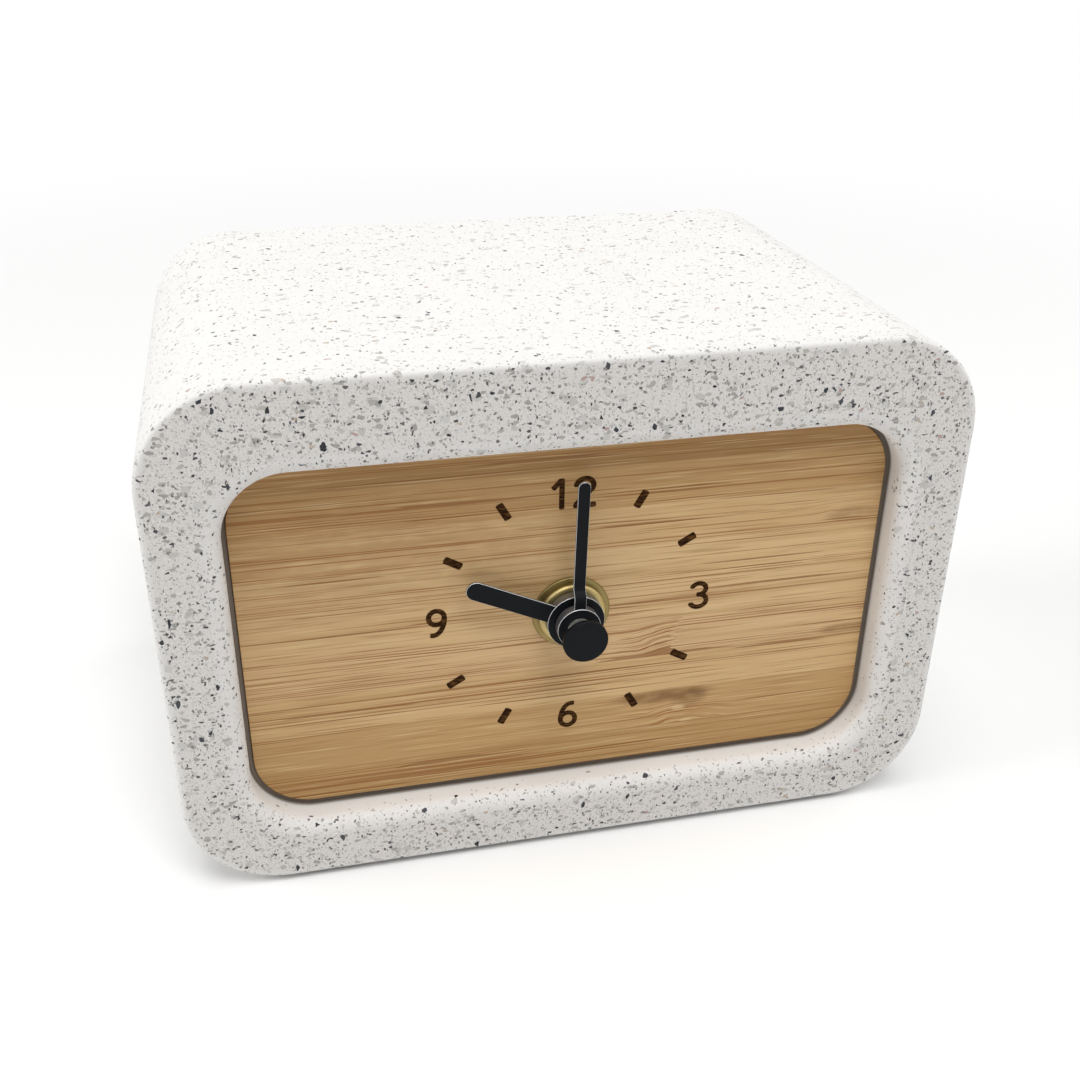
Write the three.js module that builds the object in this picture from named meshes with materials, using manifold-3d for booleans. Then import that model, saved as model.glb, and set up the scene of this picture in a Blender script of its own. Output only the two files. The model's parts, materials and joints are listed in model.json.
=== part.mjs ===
// Wireless charger clock: a cast cement body with a bamboo dial, a quartz movement and a charging module.
// Millimetres, +Z up, the dial faces -Y. The origin lies on the table, under the middle of the clock.
import * as THREE from 'three';
import { mergeVertices } from 'three/addons/utils/BufferGeometryUtils.js';
import Module from 'manifold-3d';

const wasm = await Module();
wasm.setup();

// Cement body
const sideRim = 10.3;
const topRim = 13.5;
const bottomRim = 9.6;
const bodyCornerRadius = 15;
const bodyEdgeRound = 1;
const recessDepth = 5.1;
const recessCornerRadius = 9.5;
const recessLipRound = 2.2;
const recessDraft = 0.2;
const frontWall = 5;
const sideWall = 9;
const floorWall = 8.5;
const roofThickness = 5.5;
const cavityCornerRadius = 20;
const coverLedge = 2.5;
const coverCornerRadius = 8;
const footHeight = 0.8;
const footRadius = 5;
const footMargin = 3;

// Bamboo dial panel
const panelWidth = 98.2;
const panelThickness = 3;
const panelSideGap = 0.6;
const panelTopGap = 0.6;
const panelBottomGap = 0.7;

// Clearances: pressed together, turning, end play, dropped in, bush in its hole
const pressGap = 0.05;
const runningGap = 0.12;
const axialGap = 0.3;
const looseGap = 0.3;
const bushHoleGap = 0.5;
const cutMargin = 1;

// Hands and the hardware in front of the dial; angles run clockwise from twelve
const washerWidth = 1.7;
const washerThickness = 0.4;
const nutWall = 1.15;
const nutThickness = 1;
const nutChamfer = 0.3;
const hourHubWall = 1.85;
const hourHubHeight = 1.7;
const hourHandLength = 18.1;
const hourHandWidth = 2.9;
const hourHandAngle = 295;
const minuteHubWall = 1.5;
const minuteHubHeight = 1.6;
const minuteHandLength = 23.4;
const minuteHandWidth = 1.8;
const minuteHandAngle = 1.3;
const minuteHandStep = 1;
const minuteStepStart = 3.6;
const minuteStepEnd = 6.4;
const handThickness = 0.4;
const handSink = 0.15;
const capRadius = 3.4;
const capThickness = 0.8;
const capTubeWall = 0.9;
const capTubeLength = 2.7;

// Concentric shafts, from the inside out
const secondArborRadius = 0.55;
const cannonWall = 1.08;
const hourPipeWall = 0.63;
const bushWall = 1.38;

// Movement case
const gasketThickness = 1;
const gasketWidth = 5.7;
const caseFront = 1.5;
const caseSide = 1.2;
const casePartition = 1.2;
const caseCornerRadius = 3;
const rearPlateThickness = 1.2;
const gearRoomGap = 0.4;
const movementLift = 3;
const postRadius = 1.5;
const postInset = 2.5;
const bossRadius = 1.3;
const pivotDepth = 0.4;

// Gear train: tooth counts, and the distances and directions between the arbors that mesh
const cannonTeeth = 8;
const minuteWheelTeeth = 24;
const minutePinionTeeth = 8;
const hourTeeth = 32;
const motionDistance = 12;
const motionDirection = 75;
const secondPinionTeeth = 6;
const thirdTeeth = 45;
const thirdPinionTeeth = 6;
const centreTeeth = 48;
const thirdDistanceShare = 0.8;
const thirdDirection = 150;
const secondTeeth = 36;
const intermediatePinionTeeth = 6;
const intermediateDistance = 8.4;
const intermediateDirection = 20;
const intermediateTeeth = 30;
const rotorPinionTeeth = 6;
const rotorDistance = 7.2;
const rotorDirection = 0;
const wheelThickness = 0.9;
const pinionOverhang = 0.2;
const plateThickness = 0.8;
const arborRadius = 0.5;
const settingArborRadius = 1;
const knobRadius = 6.5;
const knobLength = 5;
const knobFlutes = 14;
const knobFluteDepth = 0.6;

// Tooth form, as shares of the module and of the tooth pitch
const toothAddendumShare = 0.7;
const toothDedendumShare = 1.1;
const toothTipShare = 0.1;
const toothRootShare = 0.26;

// Stepping motor
const magnetRadius = 3;
const magnetLength = 2;
const statorThickness = 1;
const rotorGap = 0.6;
const statorRim = 1.2;
const statorLeg = 3;
const coilLength = 9;
const coilRise = 17.53;
const coilHeadroom = 4;
const windingDepth = 0.9;
const barrelWall = 0.46;
const bobbinFlange = 0.6;
const coreThickness = 1.4;

// Movement electronics and battery
const clockBoardWidth = 13;
const clockBoardHeight = 15;
const boardThickness = 0.8;
const crystalRadius = 1.05;
const crystalLength = 6.2;
const chipRadius = 2.8;
const chipHeight = 1.1;
const batteryDiameter = 14.5;
const batteryLength = 50.5;
const batteryNubLength = 1.2;
const batteryNubRadius = 2.75;
const batteryRim = 0.5;
const contactRoom = 1.55;
const contactThickness = 0.3;
const contactSpan = 10;
const contactWidth = 8;

// Charging module under the roof
const trayGap = 0.5;
const trayWall = 1.5;
const trayFloor = 1.5;
const railWidth = 2;
const coilPadDiameter = 44;
const coilPadGap = 0.5;
const coilPadHole = 10;
const coilPadThickness = 1.2;
const ferriteThickness = 0.8;
const chargerBoardThickness = 1.2;
const chargerChipSize = 8;
const chargerChipHeight = 1.2;
const componentRoom = 2.8;
const boardTail = 14.1;
const socketWidth = 9;
const socketHeight = 3.2;
const socketLength = 7.5;
const socketWall = 0.35;
const socketCornerRadius = 1.5;
const socketBack = 1;
const socketTongueWidth = 6.6;
const socketTongueThickness = 0.7;
const socketTongueLength = 5;

// Back cover, battery door and their fasteners
const coverThickness = 2.5;
const coverInset = 0.5;
const coverGap = 0.3;
const plugWidth = 13;
const plugHeight = 7.4;
const plugCornerRadius = 3;
const doorThickness = 1.2;
const doorStep = 1.5;
const doorGap = 0.25;
const doorCornerRadius = 4;
const doorSkirtWall = 1.2;
const doorSkirtReach = 2;
const fingerRoom = 3;
const fingerNotchRadius = 6;
const screwRadius = 1.2;
const screwHeadRadius = 2.25;
const screwHeadHeight = 1.5;
const screwLength = 7.5;
const screwCrossLength = 2.4;
const screwCrossWidth = 0.6;
const screwCrossDepth = 0.8;
const screwGap = 0.1;
const insertLength = 6;
const insertWall = 0.7;

// Facets of round shapes
const cornerSteps = 6;
const leastCornerRadius = 0.1;
const roundSteps = 3;
const fineSegments = 24;
const coarseSegments = 16;
const pivotSegments = 10;

// Radii of the concentric shafts, of the pieces on them and of the other round fits
const cannonRadius = secondArborRadius + runningGap + cannonWall;
const hourBore = cannonRadius + runningGap;
const hourPipeRadius = hourBore + hourPipeWall;
const bushBore = hourPipeRadius + runningGap;
const bushRadius = bushBore + bushWall;
const capTubeRadius = secondArborRadius + pressGap + capTubeWall;
const minuteHubRadius = cannonRadius + pressGap + minuteHubWall;
const hourHubRadius = hourPipeRadius + pressGap + hourHubWall;
const nutRadius = bushRadius + pressGap + nutWall;
const washerRadius = bushRadius + looseGap + washerWidth;
const gasketRadius = bushRadius + looseGap + gasketWidth;
const statorBore = magnetRadius + rotorGap;
const coreHoleRadius = coreThickness * Math.SQRT1_2 + pressGap;
const coilBarrelRadius = coreHoleRadius + barrelWall;
const coilRadius = coilBarrelRadius + windingDepth;
const insertBore = screwRadius + screwGap;
const insertRadius = insertBore + insertWall;

// Worked-out gear sizes
const thirdDistance = thirdDistanceShare * motionDistance;
const moduleOf = (distance, teeth, mateTeeth) => (2 * distance) / (teeth + mateTeeth);
const tipRadius = (teeth, module) => module * (teeth / 2 + toothAddendumShare);
const motionModule = moduleOf(motionDistance, cannonTeeth, minuteWheelTeeth);
const hourModule = moduleOf(motionDistance, minutePinionTeeth, hourTeeth);
const thirdModule = moduleOf(thirdDistance, secondPinionTeeth, thirdTeeth);
const centreModule = moduleOf(thirdDistance, thirdPinionTeeth, centreTeeth);
const secondModule = moduleOf(intermediateDistance, intermediatePinionTeeth, secondTeeth);
const rotorModule = moduleOf(rotorDistance, rotorPinionTeeth, intermediateTeeth);

// Arbor places in the plane of the dial, as [x, z] from the hand axis
const quarterTurn = 90;
const halfTurn = 180;
const radians = THREE.MathUtils.degToRad;
const polar = (distance, direction) => [
  distance * Math.cos(radians(direction)),
  distance * Math.sin(radians(direction)),
];
const handAxis = [0, 0];
const motionAxis = polar(motionDistance, motionDirection);
const thirdAxis = polar(thirdDistance, thirdDirection);
const intermediateAxis = polar(intermediateDistance, intermediateDirection);
const rotorStep = polar(rotorDistance, rotorDirection);
const rotorAxis = [intermediateAxis[0] + rotorStep[0], intermediateAxis[1] + rotorStep[1]];

// The stator's two legs rise beside the coil and carry its core, all as [x, z] from the hand axis
const statorLeft = rotorAxis[0] - statorBore - statorRim;
const legGap = coilLength + 2 * looseGap;
const statorRight = statorLeft + 2 * statorLeg + legGap;
const statorLegs = [[statorLeft, statorLeft + statorLeg], [statorRight - statorLeg, statorRight]];
const coilAxis = [(statorLeft + statorRight) / 2, rotorAxis[1] + coilRise];

// Depths behind the front plane
const recessFloor = recessDepth + panelThickness;
const wallBack = recessFloor + frontWall;
const movementFront = wallBack + gasketThickness;
const caseInner = movementFront + caseFront;
const washerFront = recessDepth - washerThickness;
const nutFront = washerFront - nutThickness;
const hourHubBack = nutFront - axialGap;
const hourHubFront = hourHubBack - hourHubHeight;
const minuteHubBack = hourHubFront - axialGap;
const minuteHubFront = minuteHubBack - minuteHubHeight;
const capTubeBack = minuteHubFront - axialGap;
const capBack = capTubeBack - capTubeLength;
const capFront = capBack - capThickness;

// Depths of the gear layers: three in front of the bearing plate, three behind it, then the rotor's magnet
const pinionLength = wheelThickness + 2 * pinionOverhang;
const layerPitch = pinionLength + axialGap;
const layersInFront = 3;
const plateFront = caseInner + axialGap + layersInFront * layerPitch;
const plateBack = plateFront + plateThickness;
const layerFront = (layer) => layer < layersInFront
  ? caseInner + axialGap + layer * layerPitch
  : plateBack + axialGap + (layer - layersInFront) * layerPitch;
const layerBack = (layer) => layerFront(layer) + pinionLength;
const [hourLayer, cannonLayer, centreLayer] = [0, 1, 2];
const [thirdLayer, secondLayer, intermediateLayer] = [3, 4, 5];
const magnetFront = layerBack(intermediateLayer) + axialGap;
const magnetBack = magnetFront + magnetLength;
const statorFront = magnetFront + (magnetLength - statorThickness) / 2;
const statorBack = statorFront + statorThickness;
const coreMiddle = statorFront - coreThickness / 2;
const coilReach = coreMiddle + coilRadius + axialGap;
const batteryReach = caseInner + 2 * looseGap + batteryDiameter - rearPlateThickness;
const rearInner = Math.max(magnetBack + 2 * axialGap, coilReach, batteryReach);
const movementBack = rearInner + rearPlateThickness;

// Movement outline, from the hand axis
const widestTip = Math.max(tipRadius(hourTeeth, hourModule), tipRadius(centreTeeth, centreModule));
const gearRoomBelow = widestTip + gearRoomGap;
const gearRoomAbove = coilAxis[1] + coilRadius + coilHeadroom;
const bayHeight = batteryDiameter + 2 * looseGap;
const bayTop = -gearRoomBelow - casePartition;
const bayBottom = bayTop - bayHeight;
const movementBottom = bayBottom - caseSide;
const movementTop = gearRoomAbove + caseSide;
const bayHalf = Math.max(batteryLength / 2 + contactRoom, statorRight + looseGap);
const movementHalf = bayHalf + caseSide;

// Body outline: the walls go round the movement and the charging tray
const dialCentre = floorWall + movementLift - movementBottom;
const trayBottom = dialCentre + movementTop + trayGap;
const boardTop = trayBottom + trayFloor + chargerBoardThickness;
const ferriteBottom = boardTop + componentRoom;
const ferriteTop = ferriteBottom + ferriteThickness;
const coilPadTop = ferriteTop + coilPadThickness;
const trayTop = coilPadTop + trayGap;
const bodyHeight = trayTop + roofThickness;
const bodyWidth = panelWidth + 2 * (panelSideGap + sideRim);
const trayHalf = coilPadDiameter / 2 + coilPadGap + trayWall;
const trayFront = wallBack + looseGap;
const trayBack = trayFront + 2 * trayHalf + boardTail;
const coverInner = trayBack;
const coverOuter = coverInner + coverThickness;
const bodyDepth = coverOuter + coverInset;
const cavityHalf = bodyWidth / 2 - sideWall;

// A closed outline as [x, z] points, anticlockwise seen from the front
function roundedOutline(half, bottom, top, wantedRadius) {
  const radius = Math.max(wantedRadius, leastCornerRadius);
  const corners = [[half, top], [-half, top], [-half, bottom], [half, bottom]];
  return corners.flatMap(([cornerX, cornerZ], turns) => {
    const centreX = cornerX - Math.sign(cornerX) * radius;
    const centreZ = cornerZ === top ? top - radius : bottom + radius;
    return Array.from({ length: cornerSteps + 1 }, (_, step) => {
      const angle = radians(quarterTurn * (turns + step / cornerSteps));
      return [centreX + radius * Math.cos(angle), centreZ + radius * Math.sin(angle)];
    });
  });
}

function shapeOf(outline, ...holes) {
  const points = (list) => list.map(([x, z]) => new THREE.Vector2(x, z));
  const shape = new THREE.Shape(points(outline));
  shape.holes = holes.map((hole) => new THREE.Path(points(hole)));
  return shape;
}

// A plate parallel to the dial, between two depths
function slab(shape, front, back, [x, z] = handAxis) {
  const geometry = new THREE.ExtrudeGeometry(shape, { depth: back - front, bevelEnabled: false });
  geometry.rotateX(Math.PI / 2);
  return geometry.translate(x, back, z);
}

// A box between two corners
function block(low, high) {
  const size = high.map((value, axis) => value - low[axis]);
  const centre = high.map((value, axis) => (value + low[axis]) / 2);
  return new THREE.BoxGeometry(...size).translate(...centre);
}

// A round bar along the depth
function bar(radius, front, back, [x, z] = handAxis, segments = fineSegments) {
  const cylinder = new THREE.CylinderGeometry(radius, radius, back - front, segments);
  return cylinder.translate(x, (front + back) / 2, z);
}

// A turned piece about the depth axis: profile points are [radius, depth]
function turned(profile, segments = fineSegments) {
  return new THREE.LatheGeometry(profile.map(([r, y]) => new THREE.Vector2(r, y)), segments);
}

// A turned ring with a chamfer on its outer front edge
function ring(inner, outer, front, back, chamfer = 0, segments = fineSegments) {
  const edge = chamfer > 0 ? [[outer, front + chamfer], [outer - chamfer, front]] : [[outer, front]];
  return turned([[inner, back], [outer, back], ...edge, [inner, front], [inner, back]].reverse(), segments);
}

// A skin through outlines with the same number of points, from front to back, closed at both ends
function loft(sections) {
  const count = sections[0].outline.length;
  const position = sections.flatMap(({ depth, outline }) => outline.flatMap(([x, z]) => [x, depth, z]));
  const index = [];
  for (let section = 0; section + 1 < sections.length; section += 1) {
    for (let point = 0; point < count; point += 1) {
      const next = (point + 1) % count;
      const [near, nearNext] = [section * count + point, section * count + next];
      index.push(near, near + count, nearNext, nearNext, near + count, nearNext + count);
    }
  }
  const last = (sections.length - 1) * count;
  for (let point = 1; point + 1 < count; point += 1) {
    index.push(0, point, point + 1, last, last + point + 1, last + point);
  }
  const geometry = new THREE.BufferGeometry();
  geometry.setAttribute('position', new THREE.Float32BufferAttribute(position, 3));
  return geometry.setIndex(index);
}

// A bent strip of even thickness along a line of [u, v] points, as an outline
function stripOutline(line, thickness) {
  const side = (sign) => line.map(([u, v], place) => {
    const before = line[Math.max(place - 1, 0)];
    const after = line[Math.min(place + 1, line.length - 1)];
    const unit = (from, to) => new THREE.Vector2(to[0] - from[0], to[1] - from[1]).normalize();
    const into = place > 0 ? unit(before, [u, v]) : unit([u, v], after);
    const out = place + 1 < line.length ? unit([u, v], after) : into;
    const mean = into.clone().add(out).normalize();
    const reach = (sign * thickness) / (2 * mean.dot(into));
    return [u - mean.y * reach, v + mean.x * reach];
  });
  return [...side(-1), ...side(1).reverse()];
}

// Closed geometry to a solid for joins and cuts, and back
function solid(geometry) {
  const bare = new THREE.BufferGeometry();
  bare.setAttribute('position', geometry.getAttribute('position'));
  bare.setIndex(geometry.getIndex());
  const merged = mergeVertices(bare);
  const corners = merged.getIndex().array;
  const triangles = [];
  for (let start = 0; start < corners.length; start += 3) {
    const [a, b, c] = corners.slice(start, start + 3);
    if (a !== b && b !== c && c !== a) triangles.push(a, b, c);
  }
  return new wasm.Manifold(new wasm.Mesh({
    numProp: 3,
    vertProperties: Float32Array.from(merged.getAttribute('position').array),
    triVerts: Uint32Array.from(triangles),
  }));
}

function geometryOf(body) {
  const mesh = body.getMesh();
  const geometry = new THREE.BufferGeometry();
  geometry.setAttribute('position', new THREE.Float32BufferAttribute(mesh.vertProperties, 3));
  geometry.setIndex(Array.from(mesh.triVerts));
  geometry.computeVertexNormals();
  return geometry;
}

const join = (body, ...geometries) => geometries.map(solid).reduce((whole, part) => whole.add(part), body);
const joined = (first, ...others) => join(solid(first), ...others);
const cut = (body, ...geometries) => geometries.map(solid).reduce((rest, part) => rest.subtract(part), body);

// A toothed outline: each tooth is a flat-topped wedge, the first one centred on the phase angle
function toothedShape(teeth, module, phase) {
  const pitch = (2 * Math.PI) / teeth;
  const root = module * (teeth / 2 - toothDedendumShare);
  const tip = tipRadius(teeth, module);
  const corners = [
    [root, -toothRootShare], [tip, -toothTipShare], [tip, toothTipShare], [root, toothRootShare],
  ];
  const outline = Array.from({ length: teeth }, (_, tooth) => corners.map(([radius, share]) => {
    const angle = phase + (tooth + share) * pitch;
    return [radius * Math.cos(angle), radius * Math.sin(angle)];
  }));
  return shapeOf(outline.flat());
}

// A wheel lies in the middle of its layer and its mate, the pinion, fills the layer; a tooth of the pinion
// points at the wheel and meets a gap there
function wheel(teeth, module, layer, axis, towardsMate) {
  const front = layerFront(layer) + pinionOverhang;
  const phase = radians(towardsMate) + Math.PI / teeth;
  return slab(toothedShape(teeth, module, phase), front, front + wheelThickness, axis);
}

function pinion(teeth, module, layer, axis, towardsMate) {
  return slab(toothedShape(teeth, module, radians(towardsMate)), layerFront(layer), layerBack(layer), axis);
}

function finish(color, roughness, metalness = 0) {
  return new THREE.MeshStandardMaterial({ color, roughness, metalness });
}

const finishes = {
  cement: finish('#d6d2cc', 0.9),
  bamboo: finish('#bd9561', 0.6),
  brass: finish('#b8995a', 0.35, 1),
  handBlack: finish('#1b1d20', 0.5),
  casePlastic: finish('#25272a', 0.55),
  gearPlastic: finish('#e9e6dc', 0.5),
  knobPlastic: finish('#d8d5cc', 0.5),
  steel: finish('#a9abad', 0.4, 1),
  magnet: finish('#6c6e70', 0.4, 1),
  copper: finish('#b26a3c', 0.45, 1),
  circuit: finish('#1f5b3a', 0.5),
  chip: finish('#17181a', 0.4),
  batteryWrap: finish('#3e4c63', 0.4),
  ferrite: finish('#3a3836', 0.7),
  coverPlastic: finish('#e4e2dd', 0.6),
  rubber: finish('#2a2a2a', 0.9),
};

function piece(name, shape, material) {
  const mesh = new THREE.Mesh(shape.isBufferGeometry ? shape : geometryOf(shape), material);
  mesh.name = name;
  return mesh;
}

// Outlines that several pieces share
const bodyOutline = (inset) => roundedOutline(
  bodyWidth / 2 - inset, inset, bodyHeight - inset, bodyCornerRadius - inset);
const recessOutline = (offset) => roundedOutline(
  panelWidth / 2 + panelSideGap + offset, bottomRim - offset, bodyHeight - topRim + offset,
  recessCornerRadius + offset);
const coverOutline = (inset) => roundedOutline(
  cavityHalf + coverLedge - inset, floorWall - coverLedge + inset, trayTop + coverLedge - inset,
  coverCornerRadius - inset);
const doorBottom = dialCentre + bayBottom;
const doorTop = dialCentre + motionAxis[1] + knobRadius + fingerRoom;
const doorOutline = (inset) => roundedOutline(
  bayHalf + fingerRoom - inset, doorBottom + inset, doorTop - inset, doorCornerRadius - inset);

// Screws stand in the cement corners, halfway between the cavity's corner and the cover's
const cornerCut = 1 - Math.SQRT1_2;
const cornerMiddle = (coverLedge - cornerCut * (coverCornerRadius + cavityCornerRadius)) / 2;
const screwPlaces = [
  [-cavityHalf - cornerMiddle, floorWall - cornerMiddle],
  [cavityHalf + cornerMiddle, floorWall - cornerMiddle],
  [-cavityHalf - cornerMiddle, trayTop + cornerMiddle],
  [cavityHalf + cornerMiddle, trayTop + cornerMiddle],
];

// Depth and inset along a rounded edge, from the flat face to the side wall
const roundedEdge = (radius) => Array.from({ length: roundSteps + 1 }, (_, step) => {
  const angle = (Math.PI / 2) * (step / roundSteps);
  return { depth: radius * (1 - Math.cos(angle)), inset: radius * (1 - Math.sin(angle)) };
});

function cementShell() {
  const edge = roundedEdge(bodyEdgeRound);
  const front = edge.map(({ depth, inset }) => ({ depth, outline: bodyOutline(inset) }));
  const back = edge.map(({ depth, inset }) => ({ depth: bodyDepth - depth, outline: bodyOutline(inset) }));
  const lipEdge = roundedEdge(recessLipRound);
  const lip = lipEdge.map(({ depth, inset }) => ({ depth, outline: recessOutline(inset) }));
  const recess = loft([
    { depth: -cutMargin, outline: recessOutline(recessLipRound) },
    ...lip,
    { depth: recessFloor, outline: recessOutline(-recessDraft) },
  ]);
  const cavityOutline = roundedOutline(cavityHalf, floorWall, trayTop, cavityCornerRadius);
  const insertRoom = Math.max(insertLength, screwLength - coverThickness) + looseGap;
  return cut(
    joined(loft([...front, ...back.reverse()])),
    recess,
    slab(shapeOf(cavityOutline), wallBack, bodyDepth),
    slab(shapeOf(coverOutline(0)), coverInner, bodyDepth + cutMargin),
    bar(bushRadius + bushHoleGap, recessFloor - cutMargin, wallBack + cutMargin, [0, dialCentre]),
    ...screwPlaces.map((place) => bar(
      insertRadius + pressGap, coverInner - insertRoom, bodyDepth, place, coarseSegments)),
  );
}

function dialPanel() {
  const outline = roundedOutline(
    panelWidth / 2, bottomRim + panelBottomGap, bodyHeight - topRim - panelTopGap,
    recessCornerRadius - panelBottomGap);
  return cut(
    joined(slab(shapeOf(outline), recessDepth, recessFloor)),
    bar(bushRadius + bushHoleGap, recessDepth - cutMargin, recessFloor + cutMargin, [0, dialCentre]),
  );
}

// A hand's flat blade along +Z with a round tip, as an outline
function bladeShape(length, width) {
  const half = width / 2;
  const tip = Array.from({ length: coarseSegments / 2 + 1 }, (_, step) => {
    const angle = (Math.PI * step) / (coarseSegments / 2);
    return [half * Math.cos(angle), length - half + half * Math.sin(angle)];
  });
  return shapeOf([[-half, 0], [half, 0], ...tip]);
}

function hourHand() {
  const bladeFront = hourHubFront + handSink;
  const blade = slab(bladeShape(hourHandLength, hourHandWidth), bladeFront, bladeFront + handThickness);
  return cut(
    joined(bar(hourHubRadius, hourHubFront, hourHubBack), blade),
    bar(hourPipeRadius + pressGap, hourHubFront - cutMargin, hourHubBack + cutMargin),
  );
}

// The minute blade steps back towards the dial just outside its hub
function minuteHand() {
  const hubLine = minuteHubFront + handSink + handThickness / 2;
  const bladeLine = hubLine + minuteHandStep;
  const line = [
    [hubLine, 0], [hubLine, minuteStepStart], [bladeLine, minuteStepEnd], [bladeLine, minuteHandLength],
  ];
  const profile = new THREE.ExtrudeGeometry(
    shapeOf(stripOutline(line, handThickness)), { depth: minuteHandWidth, bevelEnabled: false });
  profile.applyMatrix4(new THREE.Matrix4().set(
    0, 0, 1, -minuteHandWidth / 2,
    1, 0, 0, 0,
    0, 1, 0, 0,
    0, 0, 0, 1,
  ));
  const plan = slab(
    bladeShape(minuteHandLength, minuteHandWidth), minuteHubFront - cutMargin, minuteHubBack + cutMargin);
  const blade = solid(profile).intersect(solid(plan));
  return cut(
    joined(bar(minuteHubRadius, minuteHubFront, minuteHubBack)).add(blade),
    bar(cannonRadius + pressGap, minuteHubFront - cutMargin, minuteHubBack + cutMargin),
  );
}

function handCap() {
  const bore = secondArborRadius + pressGap;
  return turned([
    [0, capFront],
    [capRadius, capFront],
    [capRadius, capBack],
    [capTubeRadius, capBack],
    [capTubeRadius, capTubeBack],
    [bore, capTubeBack],
    [bore, capBack],
    [0, capBack],
  ]);
}

// The case is a tray with a gear room above, a battery bay below and the threaded bush in front
function movementCase() {
  const outer = shapeOf(roundedOutline(movementHalf, movementBottom, movementTop, caseCornerRadius));
  const pocket = (bottom, top) => block(
    [-bayHalf, caseInner, bottom], [bayHalf, rearInner + cutMargin, top]);
  const posts = [-1, 1].flatMap((side) => [-gearRoomBelow + postInset, gearRoomAbove - postInset].map(
    (height) => bar(
      postRadius, movementFront, plateFront, [side * (bayHalf - postInset), height], pivotSegments)));
  const room = cut(
    joined(slab(outer, movementFront, rearInner)),
    pocket(-gearRoomBelow, gearRoomAbove),
    pocket(bayBottom, bayTop),
  );
  const pivotHole = arborRadius + runningGap;
  return cut(
    join(room, ...posts, bar(bushRadius, nutFront, caseInner)),
    bar(bushBore, nutFront - cutMargin, caseInner + cutMargin),
    bar(pivotHole, movementFront + looseGap, caseInner + cutMargin, motionAxis, pivotSegments),
  );
}

function rearPlate() {
  const outline = roundedOutline(movementHalf, bayTop, movementTop, caseCornerRadius);
  const bearings = [
    { axis: handAxis, front: magnetFront, arbor: secondArborRadius },
    { axis: thirdAxis, front: magnetFront, arbor: arborRadius },
    { axis: intermediateAxis, front: magnetFront, arbor: arborRadius },
    { axis: rotorAxis, front: magnetBack + axialGap, arbor: arborRadius },
  ];
  const legMiddle = statorLegs.map(([left, right]) => (left + right) / 2);
  const statorPosts = legMiddle.map((x) => bar(
    statorLeg / 2, statorBack, rearInner, [x, coilAxis[1]], pivotSegments));
  const bosses = bearings.map(({ axis, front }) => bar(bossRadius, front, rearInner, axis, pivotSegments));
  const plate = slab(shapeOf(outline), rearInner, movementBack);
  const settingHole = settingArborRadius + runningGap;
  return cut(
    joined(plate, ...bosses, ...statorPosts),
    ...bearings.map(({ axis, front, arbor }) => bar(
      arbor + runningGap, front - cutMargin, rearInner + 2 * pivotDepth, axis, pivotSegments)),
    bar(settingHole, rearInner - cutMargin, movementBack + cutMargin, motionAxis, pivotSegments),
  );
}

function bearingPlate() {
  const outline = shapeOf([
    [-bayHalf + looseGap, -gearRoomBelow + looseGap], [bayHalf - looseGap, -gearRoomBelow + looseGap],
    [bayHalf - looseGap, gearRoomAbove - looseGap], [-bayHalf + looseGap, gearRoomAbove - looseGap],
  ]);
  const hole = (radius, axis) => bar(
    radius + runningGap, plateFront - cutMargin, plateBack + cutMargin, axis, pivotSegments);
  return cut(
    joined(slab(outline, plateFront, plateBack)),
    hole(secondArborRadius, handAxis),
    hole(settingArborRadius, motionAxis),
    ...[thirdAxis, intermediateAxis, rotorAxis].map((axis) => hole(arborRadius, axis)),
  );
}

// Gear train
const pivotEnd = rearInner + pivotDepth;

function hourWheel() {
  const toothed = wheel(hourTeeth, hourModule, hourLayer, handAxis, motionDirection);
  const back = layerBack(hourLayer);
  return cut(
    joined(toothed, bar(hourPipeRadius, hourHubFront + handSink, back)),
    bar(hourBore, hourHubFront - cutMargin, back + cutMargin),
  );
}

function cannonPinion() {
  const back = layerBack(centreLayer);
  return cut(
    joined(
      pinion(cannonTeeth, motionModule, cannonLayer, handAxis, motionDirection),
      bar(cannonRadius, minuteHubFront + handSink, back),
    ),
    bar(
      secondArborRadius + runningGap, minuteHubFront - cutMargin, back + cutMargin, handAxis,
      coarseSegments),
  );
}

function centreWheel() {
  return cut(
    joined(wheel(centreTeeth, centreModule, centreLayer, handAxis, thirdDirection)),
    bar(cannonRadius + runningGap, layerFront(centreLayer), layerBack(centreLayer)),
  );
}

function minuteWheel() {
  const back = motionDirection + halfTurn;
  return joined(
    wheel(minuteWheelTeeth, motionModule, cannonLayer, motionAxis, back),
    pinion(minutePinionTeeth, hourModule, hourLayer, motionAxis, back),
    bar(arborRadius, movementFront + 2 * looseGap, layerFront(cannonLayer), motionAxis, pivotSegments),
    bar(settingArborRadius, layerFront(cannonLayer), knobFront + knobLength, motionAxis, pivotSegments),
  );
}

function thirdWheel() {
  const back = thirdDirection + halfTurn;
  return joined(
    wheel(thirdTeeth, thirdModule, thirdLayer, thirdAxis, back),
    pinion(thirdPinionTeeth, centreModule, centreLayer, thirdAxis, back),
    bar(arborRadius, layerFront(centreLayer), pivotEnd, thirdAxis, pivotSegments),
  );
}

function secondWheel() {
  return joined(
    wheel(secondTeeth, secondModule, secondLayer, handAxis, intermediateDirection),
    pinion(secondPinionTeeth, thirdModule, thirdLayer, handAxis, thirdDirection),
    bar(secondArborRadius, capBack + pressGap, pivotEnd, handAxis, pivotSegments),
  );
}

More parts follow.
